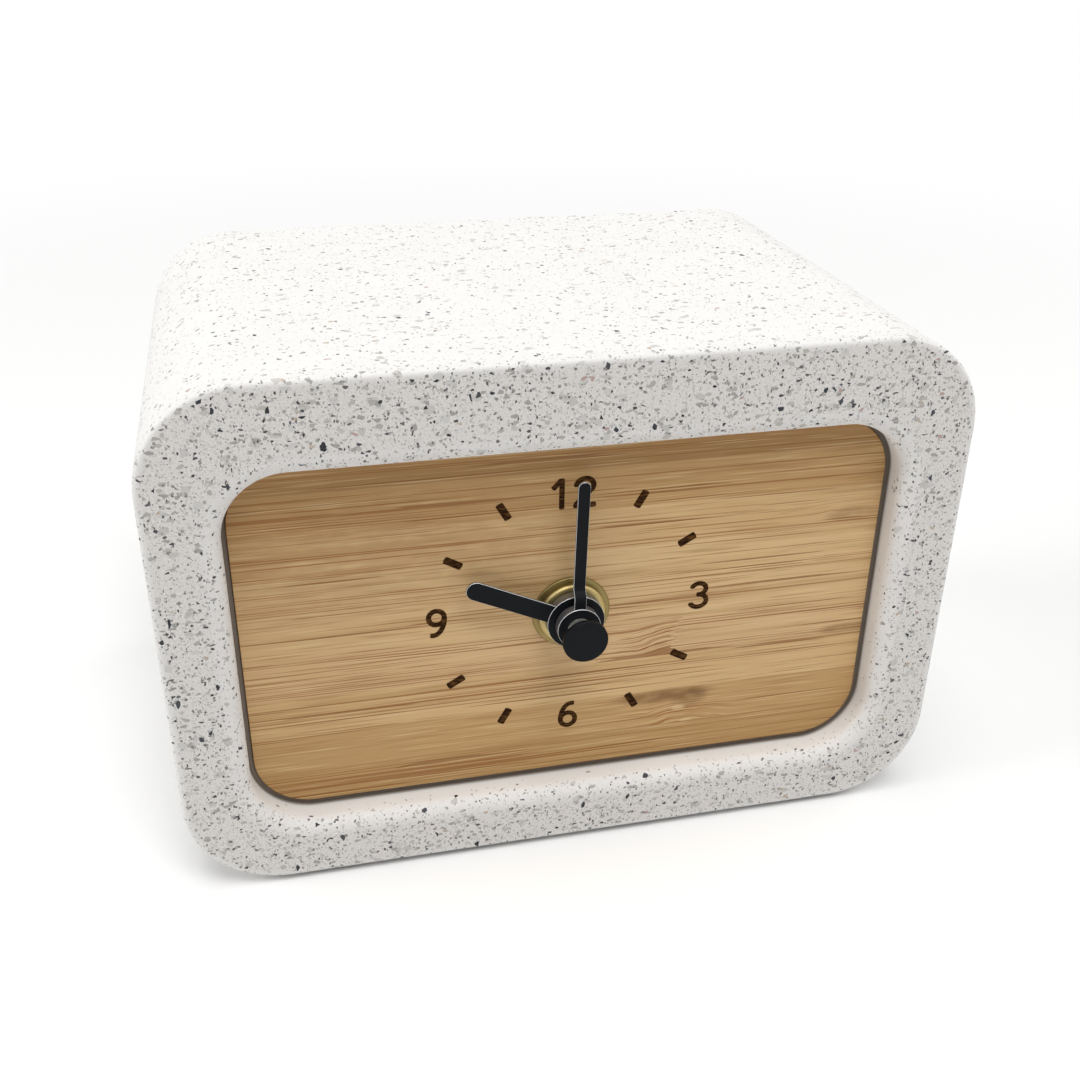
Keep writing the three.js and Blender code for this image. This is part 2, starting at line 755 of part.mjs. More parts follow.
function intermediateWheel() {
  const back = intermediateDirection + halfTurn;
  return joined(
    wheel(intermediateTeeth, rotorModule, intermediateLayer, intermediateAxis, rotorDirection),
    pinion(intermediatePinionTeeth, secondModule, secondLayer, intermediateAxis, back),
    bar(arborRadius, plateFront, pivotEnd, intermediateAxis, pivotSegments),
  );
}

function rotorPinion() {
  return joined(
    pinion(rotorPinionTeeth, rotorModule, intermediateLayer, rotorAxis, rotorDirection + halfTurn),
    bar(arborRadius, plateFront, pivotEnd, rotorAxis, pivotSegments),
  );
}

function rotorMagnet() {
  const magnet = ring(arborRadius + pressGap, magnetRadius, magnetFront, magnetBack, 0, coarseSegments);
  return magnet.translate(rotorAxis[0], 0, rotorAxis[1]);
}

const knobFront = movementBack + axialGap;

function settingKnob() {
  const steps = 2 * knobFlutes;
  const outline = Array.from({ length: steps }, (_, step) => {
    const angle = (2 * Math.PI * step) / steps;
    const radius = knobRadius - (step % 2) * knobFluteDepth;
    return [radius * Math.cos(angle), radius * Math.sin(angle)];
  });
  return cut(
    joined(slab(shapeOf(outline), knobFront, knobFront + knobLength, motionAxis)),
    bar(
      settingArborRadius + pressGap, knobFront - cutMargin, knobFront + knobLength + cutMargin, motionAxis,
      pivotSegments),
  );
}

// Stepping motor: the stator goes round the rotor and stays clear of the boss beside it
function stator() {
  const [[left, innerLeft], [innerRight, right]] = statorLegs;
  const bottom = rotorAxis[1] - statorBore - statorRim;
  const bridge = rotorAxis[1] + statorBore + statorRim;
  const top = coilAxis[1] + statorLeg / 2;
  const outline = shapeOf([
    [left, bottom], [right, bottom], [right, top], [innerRight, top],
    [innerRight, bridge], [innerLeft, bridge], [innerLeft, top], [left, top],
  ]);
  return cut(
    joined(slab(outline, statorFront, statorBack)),
    bar(statorBore, statorFront - cutMargin, statorBack + cutMargin, rotorAxis, coarseSegments),
    bar(
      bossRadius + looseGap, statorFront - cutMargin, statorBack + cutMargin, intermediateAxis,
      coarseSegments),
  );
}

function coilCore() {
  const half = coreThickness / 2;
  return block(
    [statorLeft, statorFront - coreThickness, coilAxis[1] - half],
    [statorRight, statorFront, coilAxis[1] + half]);
}

// Turned pieces of the motor coil lie along X
const alongX = (geometry) => geometry.rotateZ(-Math.PI / 2).translate(coilAxis[0], coreMiddle, coilAxis[1]);

function coilBobbin() {
  const half = coilLength / 2;
  const barrel = half - bobbinFlange;
  return alongX(turned([
    [coreHoleRadius, -half], [coilRadius, -half], [coilRadius, -barrel], [coilBarrelRadius, -barrel],
    [coilBarrelRadius, barrel], [coilRadius, barrel], [coilRadius, half], [coreHoleRadius, half],
    [coreHoleRadius, -half],
  ], coarseSegments));
}

function motorCoil() {
  const half = coilLength / 2 - bobbinFlange - pressGap;
  const inner = coilBarrelRadius + pressGap;
  const outer = coilRadius - 2 * pressGap;
  const section = [[inner, -half], [outer, -half], [outer, half], [inner, half], [inner, -half]];
  return alongX(turned(section, coarseSegments));
}

// The clock's circuit board lies against the rear plate, in the corner away from the motor
const clockBoardRight = -bayHalf + looseGap + clockBoardWidth;
const clockBoardTop = gearRoomAbove - looseGap;
const clockBoardFront = rearInner - boardThickness;

function movementBoard() {
  return block(
    [clockBoardRight - clockBoardWidth, clockBoardFront, clockBoardTop - clockBoardHeight],
    [clockBoardRight, rearInner, clockBoardTop]);
}

function quartzCrystal() {
  const can = new THREE.CylinderGeometry(crystalRadius, crystalRadius, crystalLength, pivotSegments);
  can.rotateX(Math.PI / 2);
  return can.translate(
    clockBoardRight - 2 * crystalRadius,
    clockBoardFront - crystalRadius - pressGap,
    clockBoardTop - crystalLength);
}

function clockChip() {
  const blob = turned([
    [0, clockBoardFront - chipHeight],
    [chipRadius / 2, clockBoardFront - chipHeight],
    [chipRadius, clockBoardFront - chipHeight / 2],
    [chipRadius, clockBoardFront],
    [0, clockBoardFront],
  ], coarseSegments);
  const x = clockBoardRight - clockBoardWidth + chipRadius + axialGap;
  return blob.translate(x, 0, clockBoardTop - clockBoardHeight + chipRadius + axialGap);
}

const batteryAxis = [caseInner + looseGap + batteryDiameter / 2, (bayTop + bayBottom) / 2];

function battery() {
  const radius = batteryDiameter / 2;
  const half = batteryLength / 2;
  const shoulder = half - batteryNubLength;
  const cell = turned([
    [0, -half], [radius - batteryRim, -half], [radius, batteryRim - half], [radius, shoulder - batteryRim],
    [radius - batteryRim, shoulder], [batteryNubRadius, shoulder], [batteryNubRadius, half], [0, half],
  ]);
  return cell.rotateZ(-Math.PI / 2).translate(0, ...batteryAxis);
}

// A leaf that bows from the end wall of the battery bay to the end of the battery
function batteryContact(end) {
  const wall = end * (bayHalf - contactThickness);
  const touch = end * (batteryLength / 2 + contactThickness);
  const middle = batteryAxis[0];
  const line = [[wall, middle - contactSpan / 2], [touch, middle], [wall, middle + contactSpan / 2]];
  const leaf = new THREE.ExtrudeGeometry(
    shapeOf(stripOutline(line, contactThickness)), { depth: contactWidth, bevelEnabled: false });
  return leaf.translate(0, 0, batteryAxis[1] - contactWidth / 2);
}

// Charging module: the tray hangs under the roof, its rails carry the ferrite and the coil
const trayInner = trayHalf - trayWall;
const coilMiddle = trayFront + trayHalf;
const socketBottom = boardTop;
const socketTop = socketBottom + socketHeight;

function chargerTray() {
  const floor = trayBottom + trayFloor;
  const shell = cut(
    joined(block([-trayHalf, trayFront, trayBottom], [trayHalf, trayBack, trayTop])),
    block([-trayInner, trayFront + trayWall, floor], [trayInner, trayBack - trayWall, trayTop + cutMargin]),
  );
  const rails = [-1, 1].map((side) => block(
    [Math.min(side * trayInner, side * (trayInner - railWidth)), trayFront, floor - trayFloor / 2],
    [Math.max(side * trayInner, side * (trayInner - railWidth)), trayFront + 2 * trayHalf, ferriteBottom]));
  const socketRoom = block(
    [-socketWidth / 2 - looseGap, trayBack - 2 * trayWall, socketBottom - looseGap],
    [socketWidth / 2 + looseGap, trayBack + cutMargin, socketTop + looseGap]);
  return cut(join(shell, ...rails), socketRoom);
}

function chargerBoard() {
  const half = trayInner - railWidth - looseGap;
  return block(
    [-half, trayFront + trayWall + looseGap, boardTop - chargerBoardThickness],
    [half, trayBack - trayWall - looseGap, boardTop]);
}

function chargerChip() {
  const half = chargerChipSize / 2;
  return block(
    [-half, coilMiddle - half, boardTop],
    [half, coilMiddle + half, boardTop + chargerChipHeight]);
}

function ferriteSheet() {
  const half = coilPadDiameter / 2;
  return block([-half, coilMiddle - half, ferriteBottom], [half, coilMiddle + half, ferriteTop]);
}

function chargingCoil() {
  const pad = ring(coilPadHole, coilPadDiameter / 2 - coilPadGap, ferriteTop, coilPadTop);
  return pad.rotateX(Math.PI / 2).translate(0, coilMiddle, 0);
}

function usbSocket() {
  const middle = (socketBottom + socketTop) / 2;
  const mouth = (inset) => shapeOf(roundedOutline(
    socketWidth / 2 - inset, socketBottom + inset, socketTop - inset, socketCornerRadius - inset));
  const front = trayBack - socketLength;
  const can = cut(
    joined(slab(mouth(0), front, trayBack)),
    slab(mouth(socketWall), front + socketBack, trayBack + cutMargin),
  );
  const tongue = block(
    [-socketTongueWidth / 2, front + socketBack / 2, middle - socketTongueThickness / 2],
    [socketTongueWidth / 2, front + socketBack + socketTongueLength, middle + socketTongueThickness / 2]);
  return can.add(solid(tongue));
}

function backCover() {
  const middle = (socketBottom + socketTop) / 2;
  const plug = roundedOutline(
    plugWidth / 2, middle - plugHeight / 2, middle + plugHeight / 2, plugCornerRadius);
  const headDepth = coverOuter - screwHeadHeight;
  return cut(
    joined(slab(shapeOf(coverOutline(coverGap)), coverInner, coverOuter)),
    slab(shapeOf(plug), coverInner - cutMargin, coverOuter + cutMargin),
    slab(shapeOf(doorOutline(0)), coverOuter - doorThickness, coverOuter + cutMargin),
    slab(shapeOf(doorOutline(doorStep)), coverInner - cutMargin, coverOuter),
    ...screwPlaces.flatMap((place) => [
      bar(screwRadius + looseGap, coverInner - cutMargin, coverOuter, place, coarseSegments),
      bar(screwHeadRadius + looseGap, headDepth, coverOuter + cutMargin, place, coarseSegments),
    ]),
  );
}

// The door's plate rests on the cover's step and its skirt guides it; the notch takes a fingertip
function batteryDoor() {
  const skirtInset = doorStep + doorGap;
  const plateFace = coverOuter - doorThickness;
  const skirtFront = coverInner - doorSkirtReach;
  const skirt = cut(
    joined(slab(shapeOf(doorOutline(skirtInset)), skirtFront, coverOuter)),
    slab(shapeOf(doorOutline(skirtInset + doorSkirtWall)), skirtFront - cutMargin, plateFace),
  );
  return cut(
    join(skirt, slab(shapeOf(doorOutline(doorGap)), plateFace, coverOuter)),
    bar(fingerNotchRadius, skirtFront - cutMargin, coverOuter + cutMargin, [0, doorTop]),
  );
}

function backScrew([x, z]) {
  const face = coverOuter;
  const shank = turned([
    [0, face],
    [screwHeadRadius, face],
    [screwHeadRadius, face - screwHeadHeight],
    [screwRadius, face - screwHeadHeight],
    [screwRadius, face - screwLength],
    [0, face - screwLength],
  ].reverse(), coarseSegments);
  const slots = [[screwCrossLength, screwCrossWidth], [screwCrossWidth, screwCrossLength]];
  const cross = slots.map(([width, height]) => block(
    [-width / 2, face - screwCrossDepth, -height / 2], [width / 2, face + cutMargin, height / 2]));
  return cut(joined(shank), ...cross).translate([x, 0, z]);
}

function threadedInsert([x, z]) {
  const sleeve = ring(
    insertBore, insertRadius, coverInner - insertLength, coverInner, 0, coarseSegments);
  return sleeve.translate(x, 0, z);
}

function rubberFoot([x, y]) {
  const pad = new THREE.CylinderGeometry(footRadius, footRadius, footHeight, fineSegments);
  return pad.rotateX(Math.PI / 2).translate(x, y, -footHeight / 2);
}

const footX = bodyWidth / 2 - bodyCornerRadius - footRadius - footMargin;
const footFront = bodyEdgeRound + footRadius + footMargin;
const footPlaces = [footFront, bodyDepth - footFront].flatMap((y) => [[-footX, y], [footX, y]]);

// A hand is drawn pointing at twelve and turned clockwise to its place
function turnedHand(name, shape, angle) {
  const mesh = piece(name, shape, finishes.handBlack);
  mesh.rotation.y = radians(angle);
  return mesh;
}

const washer = ring(bushRadius + looseGap, washerRadius, washerFront, recessDepth);
const nut = ring(bushRadius + pressGap, nutRadius, nutFront, washerFront, nutChamfer);
const gasket = ring(bushRadius + looseGap, gasketRadius, wallBack, movementFront);

const movement = new THREE.Group();
movement.position.z = dialCentre;
movement.add(
  piece('brass_washer', washer, finishes.brass),
  piece('brass_nut', nut, finishes.brass),
  piece('rubber_gasket', gasket, finishes.rubber),
  piece('movement_case', movementCase(), finishes.casePlastic),
  piece('movement_rear_plate', rearPlate(), finishes.casePlastic),
  piece('bearing_plate', bearingPlate(), finishes.gearPlastic),
  piece('rotor_pinion', rotorPinion(), finishes.gearPlastic),
  piece('rotor_magnet', rotorMagnet(), finishes.magnet),
  piece('intermediate_wheel', intermediateWheel(), finishes.gearPlastic),
  piece('second_wheel', secondWheel(), finishes.gearPlastic),
  piece('third_wheel', thirdWheel(), finishes.gearPlastic),
  piece('centre_wheel', centreWheel(), finishes.gearPlastic),
  piece('cannon_pinion', cannonPinion(), finishes.brass),
  piece('minute_wheel', minuteWheel(), finishes.gearPlastic),
  piece('hour_wheel', hourWheel(), finishes.gearPlastic),
  piece('setting_knob', settingKnob(), finishes.knobPlastic),
  piece('stator', stator(), finishes.steel),
  piece('coil_core', coilCore(), finishes.steel),
  piece('coil_bobbin', coilBobbin(), finishes.gearPlastic),
  piece('motor_coil', motorCoil(), finishes.copper),
  piece('movement_board', movementBoard(), finishes.circuit),
  piece('quartz_crystal', quartzCrystal(), finishes.steel),
  piece('clock_chip', clockChip(), finishes.chip),
  piece('aa_battery', battery(), finishes.batteryWrap),
  piece('battery_contact_positive', batteryContact(1), finishes.steel),
  piece('battery_contact_negative', batteryContact(-1), finishes.steel),
  turnedHand('hour_hand', hourHand(), hourHandAngle),
  turnedHand('minute_hand', minuteHand(), minuteHandAngle),
  piece('hand_cap', handCap(), finishes.handBlack),
);

const clock = new THREE.Group();
clock.position.set(0, -(capFront + bodyDepth) / 2, footHeight);
clock.add(
  movement,
  piece('cement_shell', cementShell(), finishes.cement),
  piece('dial_panel', dialPanel(), finishes.bamboo),
  piece('charger_tray', chargerTray(), finishes.casePlastic),
  piece('charger_board', chargerBoard(), finishes.circuit),
  piece('charger_chip', chargerChip(), finishes.chip),
  piece('ferrite_sheet', ferriteSheet(), finishes.ferrite),
  piece('charging_coil', chargingCoil(), finishes.copper),
  piece('usb_socket', usbSocket(), finishes.steel),
  piece('back_cover', backCover(), finishes.coverPlastic),
  piece('battery_door', batteryDoor(), finishes.coverPlastic),
  ...screwPlaces.map((place, n) => piece(`back_screw_${n + 1}`, backScrew(place), finishes.steel)),
  ...screwPlaces.map(
    (place, n) => piece(`threaded_insert_${n + 1}`, threadedInsert(place), finishes.brass)),
  ...footPlaces.map((place, n) => piece(`rubber_foot_${n + 1}`, rubberFoot(place), finishes.rubber)),
);

export default clock;
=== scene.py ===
# %% [markdown]
# # A wireless charger clock in cast cement and bamboo
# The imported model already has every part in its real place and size. This lesson dresses it: it lays a
# finer skin over the parts that the eye meets first, and gives every part the finish of its real
# material.

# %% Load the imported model
import json

import bmesh
import bpy
import numpy as np
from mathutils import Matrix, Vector


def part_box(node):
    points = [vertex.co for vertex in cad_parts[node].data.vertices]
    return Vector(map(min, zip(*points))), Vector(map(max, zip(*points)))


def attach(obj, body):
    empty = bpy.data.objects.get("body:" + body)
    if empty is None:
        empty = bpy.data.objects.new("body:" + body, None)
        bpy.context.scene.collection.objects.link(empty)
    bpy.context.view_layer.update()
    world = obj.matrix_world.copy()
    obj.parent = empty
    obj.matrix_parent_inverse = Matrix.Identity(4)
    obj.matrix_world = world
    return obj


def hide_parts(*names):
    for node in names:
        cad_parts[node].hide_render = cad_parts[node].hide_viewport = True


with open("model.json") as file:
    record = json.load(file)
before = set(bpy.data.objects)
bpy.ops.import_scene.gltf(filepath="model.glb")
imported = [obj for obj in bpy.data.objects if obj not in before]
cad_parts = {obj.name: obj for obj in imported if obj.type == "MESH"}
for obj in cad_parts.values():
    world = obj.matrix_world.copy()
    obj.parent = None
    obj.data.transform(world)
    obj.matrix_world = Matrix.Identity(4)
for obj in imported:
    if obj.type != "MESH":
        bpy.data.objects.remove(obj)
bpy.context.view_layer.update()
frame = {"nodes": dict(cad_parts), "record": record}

MM = 0.001


def box_mm(node):
    """Lowest and highest corner of a CAD node at rest, in millimetres."""
    return np.array(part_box(node)) / MM


# %% [markdown]
# ## Camera
# The camera comes first, so that every piece is judged from the angle of the photograph. It could be
# turned by eye until the outline fits, but then no length in the picture can be trusted. So its place,
# turn and lens were solved from the straight edges of the clock: the front face, the recess and the
# top.

# %% Camera
LENS_MM = 41.6
SENSOR_MM = 36.0
CLIP_START_M = 0.01
CAMERA_PLACE_MM = np.array([-42.2, -189.1, 138.4])
CAMERA_TURN_DEG = np.array([62.09, -0.55, -13.07])

scene = bpy.context.scene
camera_data = bpy.data.cameras.new("photo_camera")
camera_data.sensor_fit = "HORIZONTAL"
camera_data.sensor_width = SENSOR_MM
camera_data.lens = LENS_MM
camera_data.clip_start = CLIP_START_M
camera = bpy.data.objects.new("photo_camera", camera_data)
camera.location = CAMERA_PLACE_MM * MM
camera.rotation_euler = np.radians(CAMERA_TURN_DEG)
scene.collection.objects.link(camera)
scene.camera = camera
scene.view_settings.view_transform = "Standard"
print("camera lens", LENS_MM, "mm, at", CAMERA_PLACE_MM.tolist())

# %% [markdown]
# ## Materials by nodes
# A finish is a small tree of shader nodes. It could be drawn by hand in the node editor, but then
# nobody sees which number is a real size. Here one function adds a node, sets it, fills its inputs and
# gives back its output, so the trees below read from top to bottom. Colours are written as on a colour
# chart and turned to linear light, which is what the renderer adds up.

# %% Node and colour helpers
# Map Range is eased at both ends everywhere; Mix has its colours on inputs 6 and 7 and on output 2
SMOOTH = {"interpolation_type": "SMOOTHSTEP"}
COLOURS = {"data_type": "RGBA", "out": 2}


def linear(hex_colour):
    """sRGB hex to linear RGBA: a channel c becomes ((c + 0.055) / 1.055) ** 2.4, or c / 12.92 near black."""
    channel = np.array([int(hex_colour[i:i + 2], 16) for i in (1, 3, 5)]) / 255
    light = np.where(channel > 0.04045, ((channel + 0.055) / 1.055) ** 2.4, channel / 12.92)
    return (*light.tolist(), 1.0)


def add(tree, kind, inputs=(), out=0, **settings):
    """Adds a shader node with its settings. Inputs come in order, or by name or number in a dict: a socket
    is linked, a value is held. Gives back one output of the node, or all of them where out is None."""
    node = tree.nodes.new("ShaderNode" + kind)
    for name, value in settings.items():
        setattr(node, name, value)
    named = inputs if isinstance(inputs, dict) else dict(enumerate(inputs))
    for name, value in named.items():
        if isinstance(value, bpy.types.NodeSocket):
            tree.links.new(value, node.inputs[name])
        else:
            node.inputs[name].default_value = value
    return node.outputs if out is None else node.outputs[out]


def start_material(name, **constants):
    """A new material with its Principled shader; constants go on the shader's own sockets."""
    material = bpy.data.materials.new(name)
    material.use_nodes = True
    shader = material.node_tree.nodes["Principled BSDF"]
    for socket, value in constants.items():
        shader.inputs[socket.replace("_", " ")].default_value = value
    return material, material.node_tree, shader


def millimetres(tree):
    """Object coordinates in millimetres, so that a pattern of size s has the scale 1 / s."""
    place = add(tree, "TexCoord", out="Object")
    return add(tree, "VectorMath", {0: place, "Scale": 1 / MM}, operation="SCALE")


def dress(tree, shader, colour, roughness=None, relief=None, strength=0.0, depth_mm=0.03):
    """Links a colour to a shader and, where they are given, a roughness and a relief of a depth in mm."""
    tree.links.new(colour, shader.inputs["Base Color"])
    if roughness is not None:
        tree.links.new(roughness, shader.inputs["Roughness"])
    if relief is not None:
        bump = add(tree, "Bump", {"Height": relief, "Strength": strength, "Distance": depth_mm * MM})
        tree.links.new(bump, shader.inputs["Normal"])


print("mid grey #808080 is", round(linear("#808080")[0], 3), "in linear light")

# %% [markdown]
# ## Floor and light
# The clock stands on seamless white paper. Stronger lamps would whiten the paper, but they would bleach
# the clock too. So the paper near the clock is a real surface that takes its shadow, and further out it
# turns into plain white, for the camera and for reflections alone, as the world does.
#
# A key lamp in front and above models the dial and leaves a soft shadow under the rim of the recess. A
# broad lamp overhead makes the top the brightest side, and a fill on either side keeps the flanks pale.

# %% Floor
FLOOR_HALF_M = 6.0
PAPER_NEAR_M = 0.16
PAPER_FAR_M = 0.55
PAPER_BOUNCE, PAPER_SEEN, PLAIN_WHITE = "#E6E6E6", "#EDEDEC", "#FFFFFF"


def seen_rays(tree):
    """1 for rays from the camera, and for those that reach it by a reflection or through something clear."""
    rays = add(tree, "LightPath", out=None)
    direct = add(tree, "Math", (rays["Is Camera Ray"], rays["Is Glossy Ray"]), operation="MAXIMUM")
    return add(tree, "Math", (direct, rays["Is Transmission Ray"]), operation="MAXIMUM")


# White paper: matte, a little darker to the light that it throws back than to the eye
paper, tree, shader = start_material("white_paper", Roughness=0.9)
place = add(tree, "TexCoord", out="Object")
distance = add(tree, "VectorMath", (place,), out="Value", operation="LENGTH")
far = add(tree, "MapRange", (distance, PAPER_NEAR_M, PAPER_FAR_M), **SMOOTH)
seen = seen_rays(tree)
dress(tree, shader, add(tree, "Mix", {0: seen, 6: linear(PAPER_BOUNCE), 7: linear(PAPER_SEEN)}, **COLOURS))
plain_white = add(tree, "Emission", {"Color": linear(PLAIN_WHITE), "Strength": 1.0})
far_and_seen = add(tree, "Math", (far, seen), operation="MULTIPLY")
mixed = add(tree, "MixShader", (far_and_seen, shader.outputs[0], plain_white))
tree.links.new(mixed, tree.nodes["Material Output"].inputs["Surface"])

floor_mesh = bpy.data.meshes.new("floor")
corners = [(x * FLOOR_HALF_M, y * FLOOR_HALF_M, 0) for x, y in ((-1, -1), (1, -1), (1, 1), (-1, 1))]
floor_mesh.from_pydata(corners, [], [(0, 1, 2, 3)])
floor_mesh.materials.append(paper)
floor = bpy.data.objects.new("floor", floor_mesh)
scene.collection.objects.link(floor)
print("floor of", 2 * FLOOR_HALF_M, "m")

# %% Lamps and world
WORLD_LIGHT = 0.22
LAMP_TARGET_M = Vector((0.0, -0.02, 0.04))
LAMPS = {
    "key": {"place": (0.28, -0.82, 1.36), "size": 0.7, "power": 7.5},
    "overhead": {"place": (-0.10, -0.28, 1.50), "size": 1.0, "power": 12.2},
    "left_fill": {"place": (-1.45, 0.10, 0.75), "size": 1.0, "power": 12.0},
    "right_fill": {"place": (1.40, 0.20, 0.75), "size": 1.0, "power": 6.7},
}

world = bpy.data.worlds.new("studio")
scene.world = world
world.use_nodes = True
tree = world.node_tree
sky = tree.nodes["Background"]
sky.inputs["Color"].default_value = linear(PLAIN_WHITE)
strength = add(tree, "MapRange", (seen_rays(tree), 0.0, 1.0, WORLD_LIGHT, 1.0), **SMOOTH)
tree.links.new(strength, sky.inputs["Strength"])

for name, lamp in LAMPS.items():
    data = bpy.data.lights.new(name, "AREA")
    data.shape = "DISK"
    data.size = lamp["size"]
    data.energy = lamp["power"]
    lamp_object = bpy.data.objects.new(name, data)
    lamp_object.location = lamp["place"]
    lamp_object.rotation_euler = (LAMP_TARGET_M - lamp_object.location).to_track_quat("-Z", "Y").to_euler()
    scene.collection.objects.link(lamp_object)
print(len(LAMPS), "lamps and a world of strength", WORLD_LIGHT)

# %% [markdown]
# ## Surfaces from numpy
# Each new piece is a stack of rings: a ring is a closed row of points, and quads join it to the next. A
# ring can be a rounded rectangle, a circle or the outline of a hand, so one small builder makes them
# all. Modifiers could round the edges as well, but with rings every radius is a number that was
# measured.

# %% Outlines
def rounded_loop(half_width, bottom, top, radius, corner_points=20, side_points=14):
    """Rounded rectangle as (x, z) points: corner centre plus radius times (cos, sin) over a quarter turn
    for each corner, and evenly spaced points on the straight run to the next corner."""
    reach = half_width - radius
    centres = np.array([[reach, top - radius], [-reach, top - radius],
                        [-reach, bottom + radius], [reach, bottom + radius]])
    turn = np.arange(4)[:, None] * np.pi / 2 + np.linspace(0, np.pi / 2, corner_points)[None, :]
    corners = centres[:, None, :] + radius * np.stack([np.cos(turn), np.sin(turn)], -1)
    share = np.linspace(0, 1, side_points + 2)[1:-1, None]
    end, start = corners[:, -1:, :], np.roll(corners, -1, 0)[:, :1, :]
    runs = end + (start - end) * share
    return np.concatenate([corners, runs], 1).reshape(-1, 2)


def at_depth(loop, depth):
    """Lays an (x, z) outline in the plane y = depth."""
    return np.stack([loop[:, 0], np.full(len(loop), depth), loop[:, 1]], -1)


def around(loop, radius, centre):
    """A circle whose points lie in the same directions from the centre as the points of an outline."""
    angle = np.arctan2(loop[:, 1] - centre[1], loop[:, 0] - centre[0])
    return np.stack([centre[0] + radius * np.cos(angle), centre[1] + radius * np.sin(angle)], -1)


def quarter_round(radius, steps=7):
    """(inset, depth) pairs along a quarter circle, from the flat face to the side wall:
    radius times (1 - sin, 1 - cos)."""
    angle = np.linspace(0, np.pi / 2, steps)
    return np.stack([radius * (1 - np.sin(angle)), radius * (1 - np.cos(angle))], -1)


def lathe(profile, centre, turns=96):
    """Turns (radius, depth) points about the depth axis through centre (x, z): x and z are the centre plus
    radius times (cos, sin) of the angle. Rows follow the profile, columns the angle."""
    angle = np.linspace(0, 2 * np.pi, turns, endpoint=False)
    radius, depth = np.asarray(profile, float).T
    x = centre[0] + radius[:, None] * np.cos(angle)
    z = centre[1] + radius[:, None] * np.sin(angle)
    return np.stack([x, np.broadcast_to(depth[:, None], x.shape), z], -1)


print("a rounded outline has", len(rounded_loop(2, 0, 2, 1)), "points")

# %% Pieces from grids
MERGE_M = 1e-7
CREASE_DEG = 32


def grid_faces(rows, columns, wrap_rows, wrap_columns):
    """Quads between neighbouring points of a grid, each as four point numbers."""
    number = np.arange(rows * columns).reshape(rows, columns)
    if wrap_rows:
        number = np.vstack([number, number[:1]])
    if wrap_columns:
        number = np.hstack([number, number[:, :1]])
    corners = [number[:-1, :-1], number[1:, :-1], number[1:, 1:], number[:-1, 1:]]
    return np.stack(corners, -1).reshape(-1, 4)


def make_piece(name, parts, materials, crease_deg=CREASE_DEG):
    """One object from parts of (grid of points in mm, wrap rows, wrap columns, material number per row):
    points become vertices, neighbours become quads, doubles at poles are merged, normals turned outwards."""
    vertices, faces, numbers, offset = [], [], [], 0
    for grid, wrap_rows, wrap_columns, row_material in parts:
        rows, columns = grid.shape[:2]
        quads = grid_faces(rows, columns, wrap_rows, wrap_columns)
        per_row = len(quads) // len(row_material)
        vertices.append(grid.reshape(-1, 3) * MM)
        faces.append(quads + offset)
        numbers.append(np.repeat(row_material, per_row))
        offset += rows * columns
    mesh = bpy.data.meshes.new(name)
    mesh.from_pydata(np.concatenate(vertices).tolist(), [], np.concatenate(faces).tolist())
    for material in materials:
        mesh.materials.append(material)
    mesh.polygons.foreach_set("material_index", np.concatenate(numbers).astype(np.int32))
    shape = bmesh.new()
    shape.from_mesh(mesh)
    bmesh.ops.remove_doubles(shape, verts=shape.verts, dist=MERGE_M)
    bmesh.ops.recalc_face_normals(shape, faces=shape.faces)
    shape.to_mesh(mesh)
    shape.free()
    mesh.polygons.foreach_set("use_smooth", np.ones(len(mesh.polygons), bool))
    mesh.set_sharp_from_angle(angle=np.radians(crease_deg))
    piece = bpy.data.objects.new(name, mesh)
    scene.collection.objects.link(piece)
    even = piece.modifiers.new("even_normals", "WEIGHTED_NORMAL")
    even.keep_sharp = True
    return piece


def ring_piece(name, rings, material, **shares):
    """A closed skin through rings of (outline, depth, ...). Further numbers of a ring, the same all round
    it, become attributes: shares gives an attribute's name and where in the ring its number stands."""
    grid = np.stack([at_depth(ring[0], ring[1]) for ring in rings])
    piece = make_piece(name, [(grid, True, True, np.zeros(len(rings), int))], [material])
    for share, column in shares.items():
        layer = piece.data.attributes.new(share, "FLOAT", "POINT")
        values = np.repeat([ring[column] for ring in rings], len(piece.data.vertices) // len(rings))
        layer.data.foreach_set("value", values.astype(np.float32))
    return piece


def settle(piece, body, slot, *nodes):
    """The piece moves with a CAD body and stands for the named CAD nodes; the slot is not used."""
    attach(piece, body)
    if nodes:
        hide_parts(*nodes)
    print(piece.name, "on", body, "with", len(piece.data.polygons), "faces")


print("edges past", CREASE_DEG, "degrees stay sharp")
